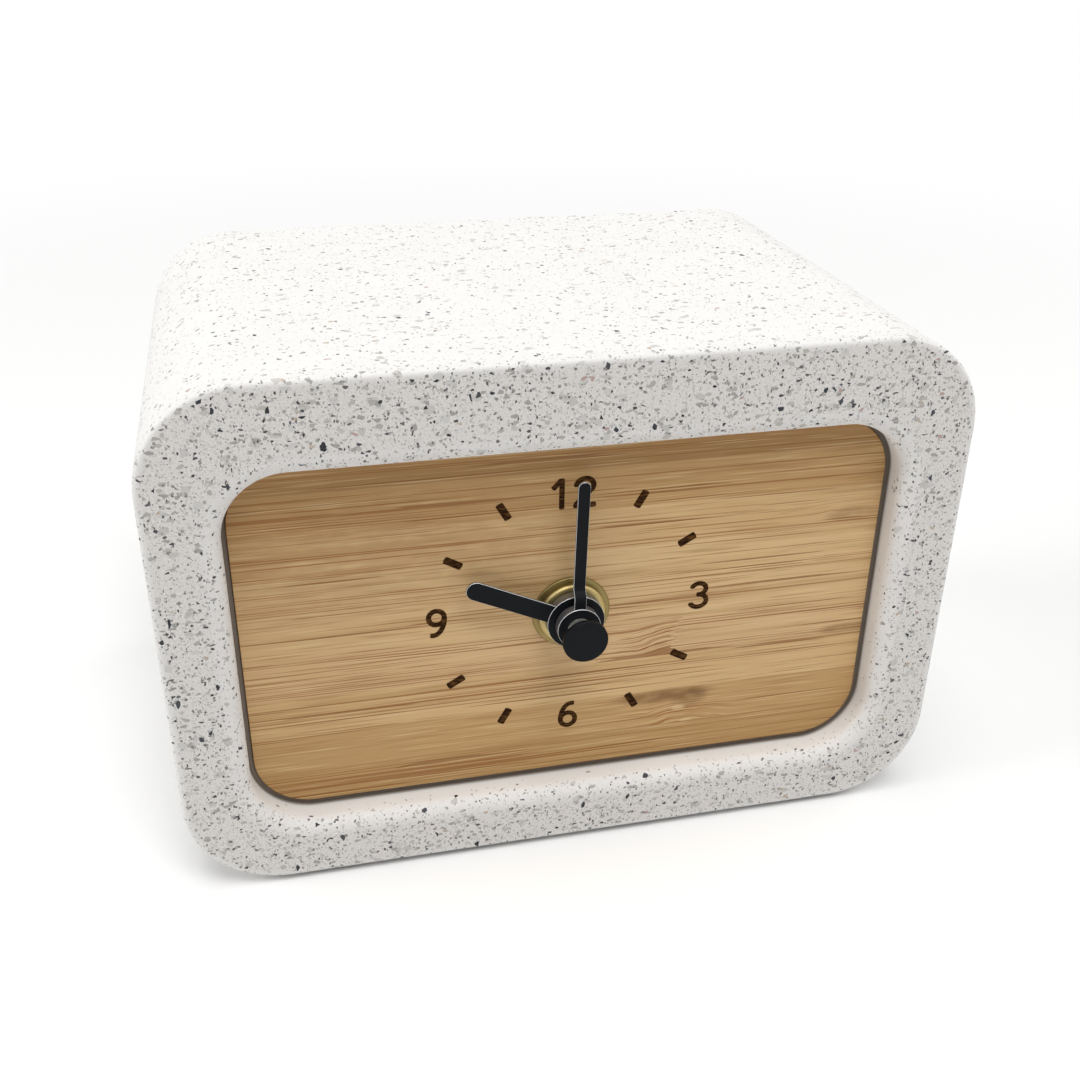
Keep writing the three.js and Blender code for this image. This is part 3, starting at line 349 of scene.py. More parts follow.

# %% [markdown]
# ## Terrazzo cement
# The body is white cement cast with crushed stone and then ground, so the stones show as flat cut
# shapes. An image of stones would show a seam at every edge of the block. Here the stones fill the
# whole thickness instead: space is cut into Voronoi cells of a stone's size, and a small share of the
# cells, drawn at random, are stone. Each size of stone is a layer of its own, from pale crumbs to black
# chips.
#
# Two attributes tell the material where it is. "ground" is 1 on the front, which was ground, less on
# the edges and sides, where fewer stones show, and 0 in the recess, which keeps its smooth cast skin.
# The second is 1 in the gap round the panel, where it paints the shade of that narrow gap, and fades out
# a little way up the wall.

# %% Stones
CHIPS = [
    {"size": 0.90, "share": 0.05, "stretch": (1.2, 1.0, 1.0), "turn": (65, 20, -35),
     "colours": ("#C6C3BF", "#CBC9C6", "#C1BEBA")},
    {"size": 0.26, "share": 0.12, "stretch": (1.0, 1.0, 1.3), "turn": (20, 35, 10),
     "colours": ("#B9B6B3", "#C2BFBC", "#C9C6C2")},
    {"size": 0.16, "share": 0.024, "stretch": (1.0, 1.2, 1.0), "turn": (5, 15, 50),
     "colours": ("#767371", "#8A8785", "#A09D99")},
    {"size": 0.50, "share": 0.050, "stretch": (1.5, 1.0, 1.0), "turn": (50, -30, 70),
     "colours": ("#A19E9B", "#ADAAA5", "#B7B4AD")},
    {"size": 0.36, "share": 0.036, "stretch": (1.0, 1.6, 1.0), "turn": (10, -25, 130),
     "colours": ("#7F7D7B", "#918F89", "#A19F98")},
    {"size": 0.24, "share": 0.019, "stretch": (1.0, 1.0, 1.5), "turn": (0, 60, 25),
     "colours": ("#3A3A3C", "#57565A", "#737170")},
    {"size": 0.32, "share": 0.014, "stretch": (1.6, 1.0, 1.0), "turn": (35, -40, 15),
     "colours": ("#24252A", "#403F44", "#605E60")},
    {"size": 0.58, "share": 0.0036, "stretch": (1.0, 1.0, 1.5), "turn": (15, -50, 40),
     "colours": ("#1C1E24", "#262931", "#3B3D42")},
    {"size": 0.50, "share": 0.0045, "stretch": (1.3, 1.0, 1.0), "turn": (70, 10, -20),
     "colours": ("#B9A995", "#B49A92", "#BFB2A2")},
]


def step_colours(ramp_output, tints):
    """Fills a colour ramp with equal steps of plain colour, one for each tint."""
    ramp = ramp_output.node.color_ramp
    ramp.interpolation = "CONSTANT"
    while len(ramp.elements) < len(tints):
        ramp.elements.new(1.0)
    for number, (element, tint) in enumerate(zip(ramp.elements, tints)):
        element.position = number / len(tints)
        element.color = linear(tint)


def chip_layer(tree, place, ground, chip, under):
    """Lays one size of stone over the colour under it. Space is cut into Voronoi cells of the stone's size,
    and a share of them, drawn by each cell's random colour, are stone; less shows where less is ground."""
    scale = [1 / (chip["size"] * stretch) for stretch in chip["stretch"]]
    turned = add(tree, "Mapping", {"Vector": place, "Rotation": np.radians(chip["turn"]), "Scale": scale})
    cells = add(tree, "TexVoronoi", {"Vector": turned, "Scale": 1.0}, out="Color")
    draws = add(tree, "SeparateColor", (cells,), out=None)
    share = add(tree, "Math", (ground, chip["share"]), operation="MULTIPLY")
    stone = add(tree, "Math", (draws[0], share), operation="LESS_THAN")
    tint = add(tree, "ValToRGB", (draws[1],))
    step_colours(tint, chip["colours"])
    return add(tree, "Mix", {0: stone, 6: under, 7: tint}, **COLOURS)


stone_share = sum(chip["share"] for chip in CHIPS)
print(len(CHIPS), "sizes of stone cover", round(stone_share, 3), "of the ground face")

# %% Terrazzo material
CHIP_WARP, CHIP_WARP_SIZE = 0.06, 0.22
CEMENT_CLOUD, CEMENT_SAND, CEMENT_PORE = 9.0, 0.28, 0.25
NOISE_SPAN = (0.3, 0.7)
CEMENT_ROUGHNESS = (0.55, 0.8)
PORE_STRENGTH, PORE_DEPTH = 0.12, 0.05
MID_GREY = (0.5, 0.5, 0.5)

# Ground white cement: pale and matte, with grey, black and a few tan stones cut flat in it
terrazzo, tree, shader = start_material("ground_terrazzo_cement", IOR=1.5)
place = millimetres(tree)
ground = add(tree, "Attribute", out="Fac", attribute_name="ground")
glued = add(tree, "Attribute", out="Fac", attribute_name="glued")
cloud = add(tree, "TexNoise", {"Vector": place, "Scale": 1 / CEMENT_CLOUD, "Detail": 3.0})
sand = add(tree, "TexNoise", {"Vector": place, "Scale": 1 / CEMENT_SAND, "Detail": 2.0})
pores = add(tree, "TexNoise", {"Vector": place, "Scale": 1 / CEMENT_PORE, "Detail": 2.0})
sanded = add(tree, "MapRange", (sand, *NOISE_SPAN), **SMOOTH)
cast_skin = add(tree, "Mix", {0: cloud, 6: linear("#E0DFDD"), 7: linear("#E9E8E6")}, **COLOURS)
cut_paste = add(tree, "Mix", {0: sanded, 6: linear("#D0CCC9"), 7: linear("#E2DFDB")}, **COLOURS)
paste = add(tree, "Mix", {0: ground, 6: cast_skin, 7: cut_paste}, **COLOURS)
# Painted shade: the gap round the panel is darkened to grey-brown, as the narrow gap would lie in shade
colour = add(tree, "Mix", {0: glued, 6: paste, 7: linear("#786C60")}, **COLOURS)
ripple = add(tree, "TexNoise", {"Vector": place, "Scale": 1 / CHIP_WARP_SIZE, "Detail": 1.0}, out="Color")
centred = add(tree, "VectorMath", (ripple, MID_GREY), operation="SUBTRACT")
shift = add(tree, "VectorMath", {0: centred, "Scale": 2 * CHIP_WARP}, operation="SCALE")
warped = add(tree, "VectorMath", (place, shift), operation="ADD")
for chip in CHIPS:
    colour = chip_layer(tree, warped, ground, chip, colour)
roughness = add(tree, "MapRange", (pores, *NOISE_SPAN, *CEMENT_ROUGHNESS), **SMOOTH)
dress(tree, shader, colour, roughness, pores, PORE_STRENGTH, PORE_DEPTH)
print("terrazzo of", len(tree.nodes), "nodes")

# %% [markdown]
# ## Cement body
# The body is one casting: a rounded block with a shallow recess in front and a deep hollow behind. It
# could be a cube with bevels and two boolean cuts, but the cuts leave uneven faces where the light runs
# along the lip. Seen as rings, it starts at the hole for the clock's bush, runs over the floor and wall
# of the recess, round the lip, across the front, along the sides to the back, and through the hollow to
# the hole again, so the skin closes.

# %% Outlines of the body
BODY_CORNER = 15.0
RECESS_CORNER = 9.5
RECESS_LIP = 2.2
RECESS_FLARE = 0.5
PANEL_SIDE_GAP, PANEL_TOP_GAP, PANEL_BOTTOM_GAP = 0.6, 0.6, 0.7
SIDE_WALL, FLOOR_WALL = 9.0, 8.5
CAVITY_CORNER = 20.0
COVER_GAP, COVER_CORNER = 0.3, 8.0
BUSH_HOLE = 4.5

shell_low, shell_high = box_mm("cement_shell")
panel_low, panel_high = box_mm("dial_panel")
cover_low, cover_high = box_mm("back_cover")
front, back = shell_low[1], shell_high[1]
panel_front, panel_back = panel_low[1], panel_high[1]
wall_back = box_mm("rubber_gasket")[0][1]
roof = box_mm("charger_tray")[1][2]
joints = frame["record"]["behaviour"]["joints"]
hand_joint = next(joint for joint in joints if joint["name"] == "minute_turn")
hand_axis = np.array(hand_joint["pos_m"])[[0, 2]] / MM


def body_loop(inset):
    """Outline of the block, drawn in by an inset on all sides."""
    return rounded_loop(shell_high[0] - inset, shell_low[2] + inset, shell_high[2] - inset,
                        BODY_CORNER - inset)


def recess_loop(offset):
    """Outline of the recess, which is the panel's with a gap on each side, widened by an offset."""
    return rounded_loop(panel_high[0] + PANEL_SIDE_GAP + offset, panel_low[2] - PANEL_BOTTOM_GAP - offset,
                        panel_high[2] + PANEL_TOP_GAP + offset, RECESS_CORNER + offset)


def wall_loop(depth):
    """The recess wall at a depth: it widens a little from the lip to the floor, as a rubber mould allows."""
    return recess_loop(RECESS_FLARE * (depth - front - RECESS_LIP) / (panel_back - front - RECESS_LIP))


cover_loop = rounded_loop(cover_high[0] + COVER_GAP, cover_low[2] - COVER_GAP, cover_high[2] + COVER_GAP,
                          COVER_CORNER)
cavity_loop = rounded_loop(shell_high[0] - SIDE_WALL, shell_low[2] + FLOOR_WALL, roof, CAVITY_CORNER)
bush_circle = around(recess_loop(0), BUSH_HOLE, hand_axis)
print("hand axis at", np.round(hand_axis, 2).tolist(), "mm")

# %% Cement body
BODY_EDGE = 0.75
SIDE_RINGS = 6
GRIND_FADE, EDGE_FADE, SIDE_FADE = 0.8, 0.5, 2.0
LIP_GROUND_DEEP, LIP_GROUND_RISE = 0.1, 0.5
EDGE_GROUND, SIDE_GROUND, BACK_GROUND = 0.45, 0.22, 0.6
# The glue bead fills the gap round the panel to a little below its face. Painted shade of the narrow gap is
# full on the bead, less at the panel's face, and fades out a little way up the wall
GLUE_SINK, SHADE_CREEP, GLUE_REACH, GLUE_CROWN = 0.5, 0.8, 0.5, 0.1
SHADE_FADE_SHARE = 0.4
SHADE_AT_FACE, SHADE_AT_FADE = 0.75, 0.15

glue_top = panel_front + GLUE_SINK
shade_fade_depth, shade_end_depth = panel_front - SHADE_FADE_SHARE * SHADE_CREEP, panel_front - SHADE_CREEP
body_edge = quarter_round(BODY_EDGE)
side_depths = np.linspace(front + BODY_EDGE, back - BODY_EDGE, SIDE_RINGS + 2)[1:-1]
# A ring is an outline, its depth, how far it is ground and how far painted shade of the gap darkens it
rings = [
    (bush_circle, panel_back, 0.0, 1.0),
    (recess_loop(-GLUE_REACH), panel_back, 0.0, 1.0),
    (recess_loop(-GLUE_REACH), glue_top + GLUE_CROWN, 0.0, 1.0),
    (wall_loop(glue_top), glue_top, 0.0, 1.0),
    (wall_loop(panel_front), panel_front, 0.0, SHADE_AT_FACE),
    (wall_loop(shade_fade_depth), shade_fade_depth, 0.0, SHADE_AT_FADE),
    (wall_loop(shade_end_depth), shade_end_depth, 0.0, 0.0),
]
for inset, depth in quarter_round(RECESS_LIP)[::-1]:
    lip_ground = LIP_GROUND_DEEP + LIP_GROUND_RISE * (1 - depth / RECESS_LIP)
    rings.append((recess_loop(inset), front + depth, lip_ground, 0.0))
for loop in (recess_loop(RECESS_LIP + GRIND_FADE), body_loop(BODY_EDGE + EDGE_FADE)):
    rings.append((loop, front, 1.0, 0.0))
rings += [(body_loop(inset), front + depth, EDGE_GROUND, 0.0) for inset, depth in body_edge]
rings += [(body_loop(0), depth, SIDE_GROUND, 0.0) for depth in (front + BODY_EDGE + SIDE_FADE, *side_depths)]
rings += [(body_loop(inset), back - depth, SIDE_GROUND, 0.0) for inset, depth in body_edge[::-1]]
rings += [
    (cover_loop, back, BACK_GROUND, 0.0),
    (cover_loop, cover_low[1], 0.0, 0.0),
    (cavity_loop, cover_low[1], 0.0, 0.0),
    (cavity_loop, wall_back, 0.0, 0.0),
    (bush_circle, wall_back, 0.0, 0.0),
]
cement_body = ring_piece("cement_body", rings, terrazzo, ground=2, glued=3)
settle(cement_body, "body", "cement", "cement_shell")

# %% [markdown]
# ## Bamboo panel
# The dial is a sheet of laminated bamboo: strips glued side by side, each cut from another place of the
# cane and with a tone of its own. An image of wood would repeat and blur close up. Noise that is drawn
# out along the grain stays sharp, and a size in millimetres says how long and how wide its streaks are.

# %% Grain of the bamboo
def grain(tree, run, size, detail=1.0):
    """Noise drawn out along the grain: its features are about size, length by width, in millimetres. The run
    is the way along, across and down into the strip."""
    along, across, down = run
    spread = add(tree, "CombineXYZ", (along, down, across))
    stretched = add(tree, "VectorMath", (spread, (size[0], size[0], size[1])), operation="DIVIDE")
    return add(tree, "TexNoise", {"Vector": stretched, "Scale": 1.0, "Detail": detail})


def oval(tree, on_dial, at, reach):
    """1 in the middle of an oval patch and 0 at its edge, falling with the square of the distance, and the
    way to the right of the middle as a share of the reach."""
    offset = add(tree, "VectorMath", (on_dial, (*at, 0.0)), operation="SUBTRACT")
    shares = add(tree, "VectorMath", (offset, (*reach, 1.0)), operation="DIVIDE")
    squares = add(tree, "VectorMath", (shares, shares), out="Value", operation="DOT_PRODUCT")
    return add(tree, "MapRange", (squares, 1.0, 0.0), **SMOOTH), add(tree, "SeparateXYZ", (shares,))


STRIP_HEIGHT = 6.73
STRIP_JOINT = 3.39
STRIP_SHIFT = 500.0
NODE_WAVE_SIZE = (3.0, 1.2)

# Sanded and oiled bamboo: satin straw to honey strips, brown streaks, a scorched edge from the laser
bamboo, tree, shader = start_material("sanded_laminated_bamboo", IOR=1.45)
axes = add(tree, "SeparateXYZ", (millimetres(tree),), out=None)
along, down = axes[0], axes[1]
height = add(tree, "Math", (axes[2], hand_axis[1]), operation="SUBTRACT")
on_dial = add(tree, "CombineXYZ", (along, height))
above_joint = add(tree, "Math", (height, STRIP_JOINT), operation="SUBTRACT")
strips = add(tree, "Math", (above_joint, STRIP_HEIGHT), operation="DIVIDE")
strip = add(tree, "Math", (strips,), operation="FLOOR")
up_strip = add(tree, "Math", (strips,), operation="FRACT")
# Each strip is cut from another place of the cane: a random draw shifts its noise far along
chance = add(tree, "TexWhiteNoise", {"W": strip}, out="Value", noise_dimensions="1D")
shifted = add(tree, "Math", (chance, STRIP_SHIFT, along), operation="MULTIPLY_ADD")
wave = grain(tree, (along, height, down), NODE_WAVE_SIZE)
print("bamboo strips of", STRIP_HEIGHT, "mm")

# %% [markdown]
# ## Nodes of the cane
# Where a strip holds a node of the cane, its fibres rise and crowd together. A node could be painted as
# a dark spot, but then straight streaks would run through it. Here each node is an oval that moves the
# place where the noise is read, in its own strip only, so the streaks themselves bend.

# %% Nodes of the cane
# Places are in mm from the hand axis. A node lifts the grain by some mm, and a stop within 1 ends it short
# of its right edge, at that share of its reach
CANE_NODES = [
    {"at": (17.0, -6.7), "reach": (14.0, 4.2), "lift": 1.2, "stop": 0.05, "strength": 1.0},
    {"at": (18.0, -21.8), "reach": (11.0, 3.2), "lift": 0.9, "stop": 2.0, "strength": 1.0},
    {"at": (42.0, 13.8), "reach": (9.0, 2.6), "lift": 0.3, "stop": 2.0, "strength": 0.45},
]
NODE_WAVE = 0.35
WAVE_SPAN, NODE_JAG = (0.2, 0.8), 0.1
RISE_SPAN = (-0.5, -0.05)
STOP_FADE = 0.1

crowded, across = 0.0, height
jag = add(tree, "MapRange", (wave, *WAVE_SPAN, -NODE_JAG, NODE_JAG), **SMOOTH)
for node in CANE_NODES:
    cover, aside = oval(tree, on_dial, node["at"], node["reach"])
    own_strip = float(np.floor((node["at"][1] - STRIP_JOINT) / STRIP_HEIGHT))
    in_strip = add(tree, "Math", (strip, own_strip), operation="COMPARE")
    cover = add(tree, "Math", (cover, in_strip), operation="MULTIPLY")
    ragged = add(tree, "Math", (aside, jag), operation="ADD")
    before_stop = add(tree, "Math", (ragged, node["stop"]), operation="LESS_THAN")
    lifted = add(tree, "Math", (cover, before_stop), operation="MULTIPLY")
    rise = add(tree, "MapRange", (aside, *RISE_SPAN, 0.0, node["lift"]), **SMOOTH)
    bent = add(tree, "Math", (lifted, rise), operation="MULTIPLY")
    across = add(tree, "Math", (across, bent), operation="SUBTRACT")
    faded = add(tree, "MapRange", (ragged, node["stop"], node["stop"] - STOP_FADE), **SMOOTH)
    cover = add(tree, "Math", (cover, faded), operation="MULTIPLY")
    crowded = add(tree, "Math", (cover, node["strength"], crowded), operation="MULTIPLY_ADD")
ripple = add(tree, "Math", (wave, 0.5), operation="SUBTRACT")
swing = add(tree, "Math", (ripple, crowded), operation="MULTIPLY")
across = add(tree, "Math", (swing, 2 * NODE_WAVE, across), operation="MULTIPLY_ADD")
run = (shifted, across, down)
print(len(CANE_NODES), "nodes of the cane bend the grain")

# %% [markdown]
# ## Streaks and bundles
# The brown lines of bamboo are cut bundles of fibres: broad streaks, long hairlines, and whole bundles
# side by side at a node. A wave pattern would draw lines too, but far too evenly. So a line shows where
# drawn-out noise passes a threshold, and only the bundles at a node are even lines, which wander and
# are broken by gaps.

# %% Streaks and bundles
BAND_SIZE = (80.0, 1.6)
FIBRE_SIZE = (16.0, 0.34)
STREAK_SIZE = (34.0, 0.42)
HAIRLINE_SIZE = (80.0, 0.23)
PALE_SHIFT = 0.2
CROWD_WEIGHT, SHADE_WEIGHT = 0.04, 0.3
NODE_LINE = 0.85
NODE_WANDER_SIZE, NODE_WANDER = (22.0, 2.2), 2.5
NODE_BREAK_SIZE, NODE_BREAKS = (9.0, 0.9), (0.4, 0.5)
# Where a pattern's value sets in, where it is full, and its share there at least and at most
STREAKS, HAIRLINES, PALE_STREAKS = (0.81, 0.84, 0.0, 0.7), (0.80, 0.83, 0.0, 0.7), (0.83, 0.88, 0.0, 0.4)
BRIGHT_BUNDLES, DARK_BUNDLES = (0.34, 0.46, 0.0, 0.45), (0.12, 0.04, 0.0, 0.95)

shade = grain(tree, run, BAND_SIZE, 2.0)
fibre = grain(tree, run, FIBRE_SIZE, 2.0)
crowd = add(tree, "Math", (crowded, CROWD_WEIGHT), operation="MULTIPLY")
crowding = add(tree, "Math", (shade, SHADE_WEIGHT, crowd), operation="MULTIPLY_ADD")
beside = add(tree, "Math", (across, PALE_SHIFT), operation="ADD")
streaks = []
for span, size, place_across in [(STREAKS, STREAK_SIZE, across), (HAIRLINES, HAIRLINE_SIZE, across),
                                 (PALE_STREAKS, STREAK_SIZE, beside)]:
    lines = grain(tree, (shifted, place_across, down), size, 0.5)
    value = add(tree, "Math", (lines, crowding), operation="ADD")
    streaks.append(add(tree, "MapRange", (value, *span), **SMOOTH))
streaked, lined, paled = streaks

wander = add(tree, "Math", (grain(tree, run, NODE_WANDER_SIZE), NODE_WANDER), operation="MULTIPLY")
lines_across = add(tree, "Math", (across, NODE_LINE), operation="DIVIDE")
wandering = add(tree, "Math", (lines_across, wander), operation="ADD")
bundle = add(tree, "Math", (wandering, 0.5), operation="PINGPONG")
gaps = add(tree, "MapRange", (grain(tree, run, NODE_BREAK_SIZE), *NODE_BREAKS), **SMOOTH)
broken = add(tree, "Math", (crowded, gaps), operation="MULTIPLY")
bundles = []
for span in (BRIGHT_BUNDLES, DARK_BUNDLES):
    share = add(tree, "MapRange", (bundle, *span), **SMOOTH)
    bundles.append(add(tree, "Math", (broken, share), operation="MULTIPLY"))
bright_bundle, dark_bundle = bundles
print("streaks", STREAK_SIZE, "mm, hairlines", HAIRLINE_SIZE, "mm")

# %% [markdown]
# ## Colours of the bamboo
# The colour is built up as it lies on the wood: first a tone for each strip, the top ones darkened by
# painted shade under the rim, then bands, fibres, stains, a broad painted shade over the upper left, and
# lines, each covering a share of what is under it. It could be a chain of nodes written one by one.
# A list of layers and one loop keep their order plain to see. A laser cut the panel, so its edge is
# scorched grey-brown, which the attribute "scorched" tells the material.

# %% Colours of the bamboo
# Strip tones from the bottom up; the top strips are also darker and more orange as painted shade and warm
# bounce light under the rim of the recess
STRIP_TONES_AND_RIM_SHADE = ("#B7905A", "#BD9661", "#CFAB78", "#D2AE7E", "#D3B07F", "#D4B17F", "#CCA774", "#BD9560",
               "#A27845", "#9A713F")
LOWEST_STRIP = -5
# Spans as in the last cell
LEFT_TONE = (-8.0, -48.0, 0.0, 0.3)
DARK_BANDS = (0.45, 0.68, 0.0, 0.4)
DARK_FIBRES, BRIGHT_FIBRES = (0.55, 0.64, 0.0, 0.44), (0.44, 0.34, 0.0, 0.36)
STRIP_LINE = (0.014, 0.0, 0.0, 0.4)
# Ovals as (middle, reach) in mm from the hand axis, a stain also with its depth. The first, broad oval is
# painted shade over the upper left of the panel; the others are stains in the wood
STAINS_AND_SHADE = [((-32.0, 14.0), (50.0, 14.0), 0.22), ((16.0, -17.9), (10.5, 1.6), 0.75),
          ((20.0, -18.7), (4.0, 2.4), 0.6), ((44.5, 12.0), (5.5, 1.6), 0.4),
          ((47.0, -9.0), (7.5, 1.2), 0.55)]
STAIN_SPAN, STAIN_LEAST = (0.2, 0.6), 0.4
PALE_EYES = [((18.4, -20.6), (1.5, 0.7)), ((19.8, -23.2), (1.5, 0.4))]
EYE_SHARE = 0.6
BAMBOO_ROUGHNESS = (0.42, 0.6)
FIBRE_STRENGTH = 0.12

stains_and_shade = []
for at, reach, depth in STAINS_AND_SHADE:
    mottled = add(tree, "MapRange", (wave, *STAIN_SPAN, STAIN_LEAST * depth, depth), **SMOOTH)
    stains_and_shade.append(add(tree, "Math", (oval(tree, on_dial, at, reach)[0], mottled), operation="MULTIPLY"))
eyes = []
for at, reach in PALE_EYES:
    eyes.append(add(tree, "Math", (oval(tree, on_dial, at, reach)[0], EYE_SHARE), operation="MULTIPLY"))
# Each layer is how far it covers what lies under it, and its colour
layers = [
    (add(tree, "MapRange", (along, *LEFT_TONE), **SMOOTH), "#AC8551"),
    (add(tree, "MapRange", (shade, *DARK_BANDS), **SMOOTH), "#A8804A"),
    (add(tree, "MapRange", (fibre, *DARK_FIBRES), **SMOOTH), "#9C7441"),
    (add(tree, "MapRange", (fibre, *BRIGHT_FIBRES), **SMOOTH), "#E2C794"),
    (paled, "#E0C490"),
    # Stains in the wood, and first among them the broad painted shade over the upper left
    *[(stain, "#70481A") for stain in stains_and_shade],
    (bright_bundle, "#E4CA98"),
    (streaked, "#834F18"),
    (lined, "#8B5318"),
    (dark_bundle, "#8C4B14"),
    *[(eye, "#DDBF8C") for eye in eyes],
    (add(tree, "MapRange", (up_strip, *STRIP_LINE), **SMOOTH), "#8A6439"),
]
strip_number = add(tree, "Math", (strip, LOWEST_STRIP - 0.5), operation="SUBTRACT")
tone_place = add(tree, "Math", (strip_number, len(STRIP_TONES_AND_RIM_SHADE)), operation="DIVIDE")
colour = add(tree, "ValToRGB", (tone_place,))
step_colours(colour, STRIP_TONES_AND_RIM_SHADE)
for share, tint in layers:
    colour = add(tree, "Mix", {0: share, 6: colour, 7: linear(tint)}, **COLOURS)
scorched = add(tree, "Attribute", out="Fac", attribute_name="scorched")
char = add(tree, "Mix", {0: fibre, 6: linear("#84766A"), 7: linear("#A09080")}, **COLOURS)
colour = add(tree, "Mix", {0: scorched, 6: colour, 7: char}, **COLOURS)
roughness = add(tree, "MapRange", (fibre, *NOISE_SPAN, *BAMBOO_ROUGHNESS), **SMOOTH)
sunk = add(tree, "Math", (streaked, lined), operation="ADD")
relief = add(tree, "Math", (fibre, sunk), operation="SUBTRACT")
dress(tree, shader, colour, roughness, relief, FIBRE_STRENGTH)
print("bamboo of", len(STRIP_TONES_AND_RIM_SHADE), "strips and", len(layers), "layers of colour")

# %% [markdown]
# ## Shape of the panel
# The panel is a plain sheet with a hole for the bush and a finely broken edge. A bevelled cube would do
# for the shape, but with rings each one can also say how far the laser has scorched it.

# %% Bamboo panel
PANEL_CORNER = 8.8
PANEL_EDGE, PANEL_EDGE_STEPS = 0.1, 4
SCORCH_FADE = 0.3


def panel_loop(inset):
    """Outline of the panel, drawn in by an inset on all sides."""
    return rounded_loop(panel_high[0] - inset, panel_low[2] + inset, panel_high[2] - inset,
                        PANEL_CORNER - inset)


panel_hole = around(panel_loop(0), BUSH_HOLE, hand_axis)
panel_edge = quarter_round(PANEL_EDGE, PANEL_EDGE_STEPS)
# A ring is an outline, its depth and how far it is scorched
rings = [(panel_hole, panel_front, 0.0), (panel_loop(SCORCH_FADE), panel_front, 0.0)]
rings += [(panel_loop(inset), panel_front + depth, 0.0) for inset, depth in panel_edge]
rings += [(panel_loop(0), panel_front + SCORCH_FADE, 1.0), (panel_loop(0), panel_back, 1.0)]
rings += [(panel_hole, panel_back, 0.0)]
bamboo_panel = ring_piece("bamboo_dial", rings, bamboo, scorched=2)
settle(bamboo_panel, "body", "bamboo", "dial_panel")

# %% [markdown]
# ## Burnt numerals and hour marks
# A laser burnt the figures 12, 3, 6 and 9 and eight short bars into the bamboo. A font would bring
# shapes that this clock does not have, so every stroke is a path of arcs and lines, and a thin closed
# band is carried along it. The bands stand two hundredths of a millimetre proud, so that the renderer
# sees them clear of the panel.

# %% Burnt material
# Scorched fibres are only about half this wide; they are drawn coarse enough to show in a stroke
BURNT_GRAIN = (1.2, 0.3)
BURNT_SPAN = (0.42, 0.68)
BURNT_STRENGTH = 0.3

# Scorched bamboo: dark brown and dull, with the grain still showing through as lighter lines
burnt, tree, shader = start_material("laser_burnt_bamboo", Roughness=0.85, Specular_IOR_Level=0.1)
axes = add(tree, "SeparateXYZ", (millimetres(tree),), out=None)
lines = grain(tree, (axes[0], axes[2], axes[1]), BURNT_GRAIN, 2.0)
share = add(tree, "MapRange", (lines, *BURNT_SPAN), **SMOOTH)
colour = add(tree, "Mix", {0: share, 6: linear("#271404"), 7: linear("#583A1A")}, **COLOURS)
dress(tree, shader, colour, None, lines, BURNT_STRENGTH)
print("burnt grain", BURNT_GRAIN, "mm")


# %% Strokes
def arc(centre, radii, start_deg, end_deg, count=48):
    """Part of an ellipse: centre plus radii times (cos, sin) of an angle from the right, turning upwards."""
    turn = np.radians(np.linspace(start_deg, end_deg, count))
    return np.asarray(centre) + np.asarray(radii) * np.stack([np.cos(turn), np.sin(turn)], -1)


def band(path, width, end_round, front, back, middle=12):
    """A closed band along an (x, z) path: each point of the path goes half the width to either side along
    the normal, and within end_round of an end the width falls off as a circle does."""
    steps = np.linalg.norm(np.diff(path, axis=0), axis=1)
    walked = np.concatenate([[0], np.cumsum(steps)])
    end_turn = end_round * (1 - np.cos(np.linspace(0, np.pi / 2, 7)))
    inner = np.linspace(end_round, walked[-1] - end_round, max(middle, len(path)))[1:-1]
    at = np.concatenate([end_turn, inner, walked[-1] - end_turn[::-1]])
    points = np.stack([np.interp(at, walked, path[:, 0]), np.interp(at, walked, path[:, 1])], -1)
    tangent = np.gradient(points, at, axis=0)
    tangent /= np.linalg.norm(tangent, axis=1, keepdims=True)
    to_end = np.minimum(np.minimum(at, walked[-1] - at) / end_round, 1)
    half = width / 2 * np.sqrt(1 - (1 - to_end) ** 2)
    side = half[:, None] * np.stack([-tangent[:, 1], tangent[:, 0]], -1)
    edges = [at_depth(points + side, front), at_depth(points - side, front),
             at_depth(points - side, back), at_depth(points + side, back)]
    return np.stack(edges, 1)


six = [
    arc((0.05, -0.98), (1.18, 1.2), 175, 535),
    np.vstack([arc((0.6, -0.9), (1.73, 2.92), 185, 90), [[1.1, 2.0]]]),
]
nine = [-stroke for stroke in six]
three = [
    np.vstack([arc((-0.13, 1.19), (1.15, 0.99), 172, -90), [[-0.5, 0.2]]]),
    arc((-0.14, -0.91), (1.33, 1.1), 90, -168),
]
one = [np.array([[-1.75, -2.52], [-1.75, 2.48]]), np.array([[-3.15, 0.8], [-1.75, 2.3]])]
two = [
    np.vstack([arc((1.7, 1.05), (1.29, 1.1), 188, -35), [[0.25, -2.0]]]),
    np.array([[-0.03, -2.12], [3.43, -2.12]]),
]
FIGURES = [(one + two, (0, 19.9)), (three, (20.55, 0.2)), (six, (-0.15, -19.03)), (nine, (-20.5, 0.4))]
print(sum(len(figure) for figure, _ in FIGURES), "strokes in the figures")

# %% Numerals and hour marks
STROKE, STROKE_ROUND = 0.8, 0.2
MARK_WIDTH, MARK_ROUND, MARK_INNER, MARK_OUTER = 1.2, 0.2, 19.15, 22.15
MARK_HOURS = (1, 2, 4, 5, 7, 8, 10, 11)
MARK_PROUD, MARK_SUNK = 0.02, 0.05
# Strokes of one figure cross, so each lies a trace further out than the last
STROKE_STEP = 0.003

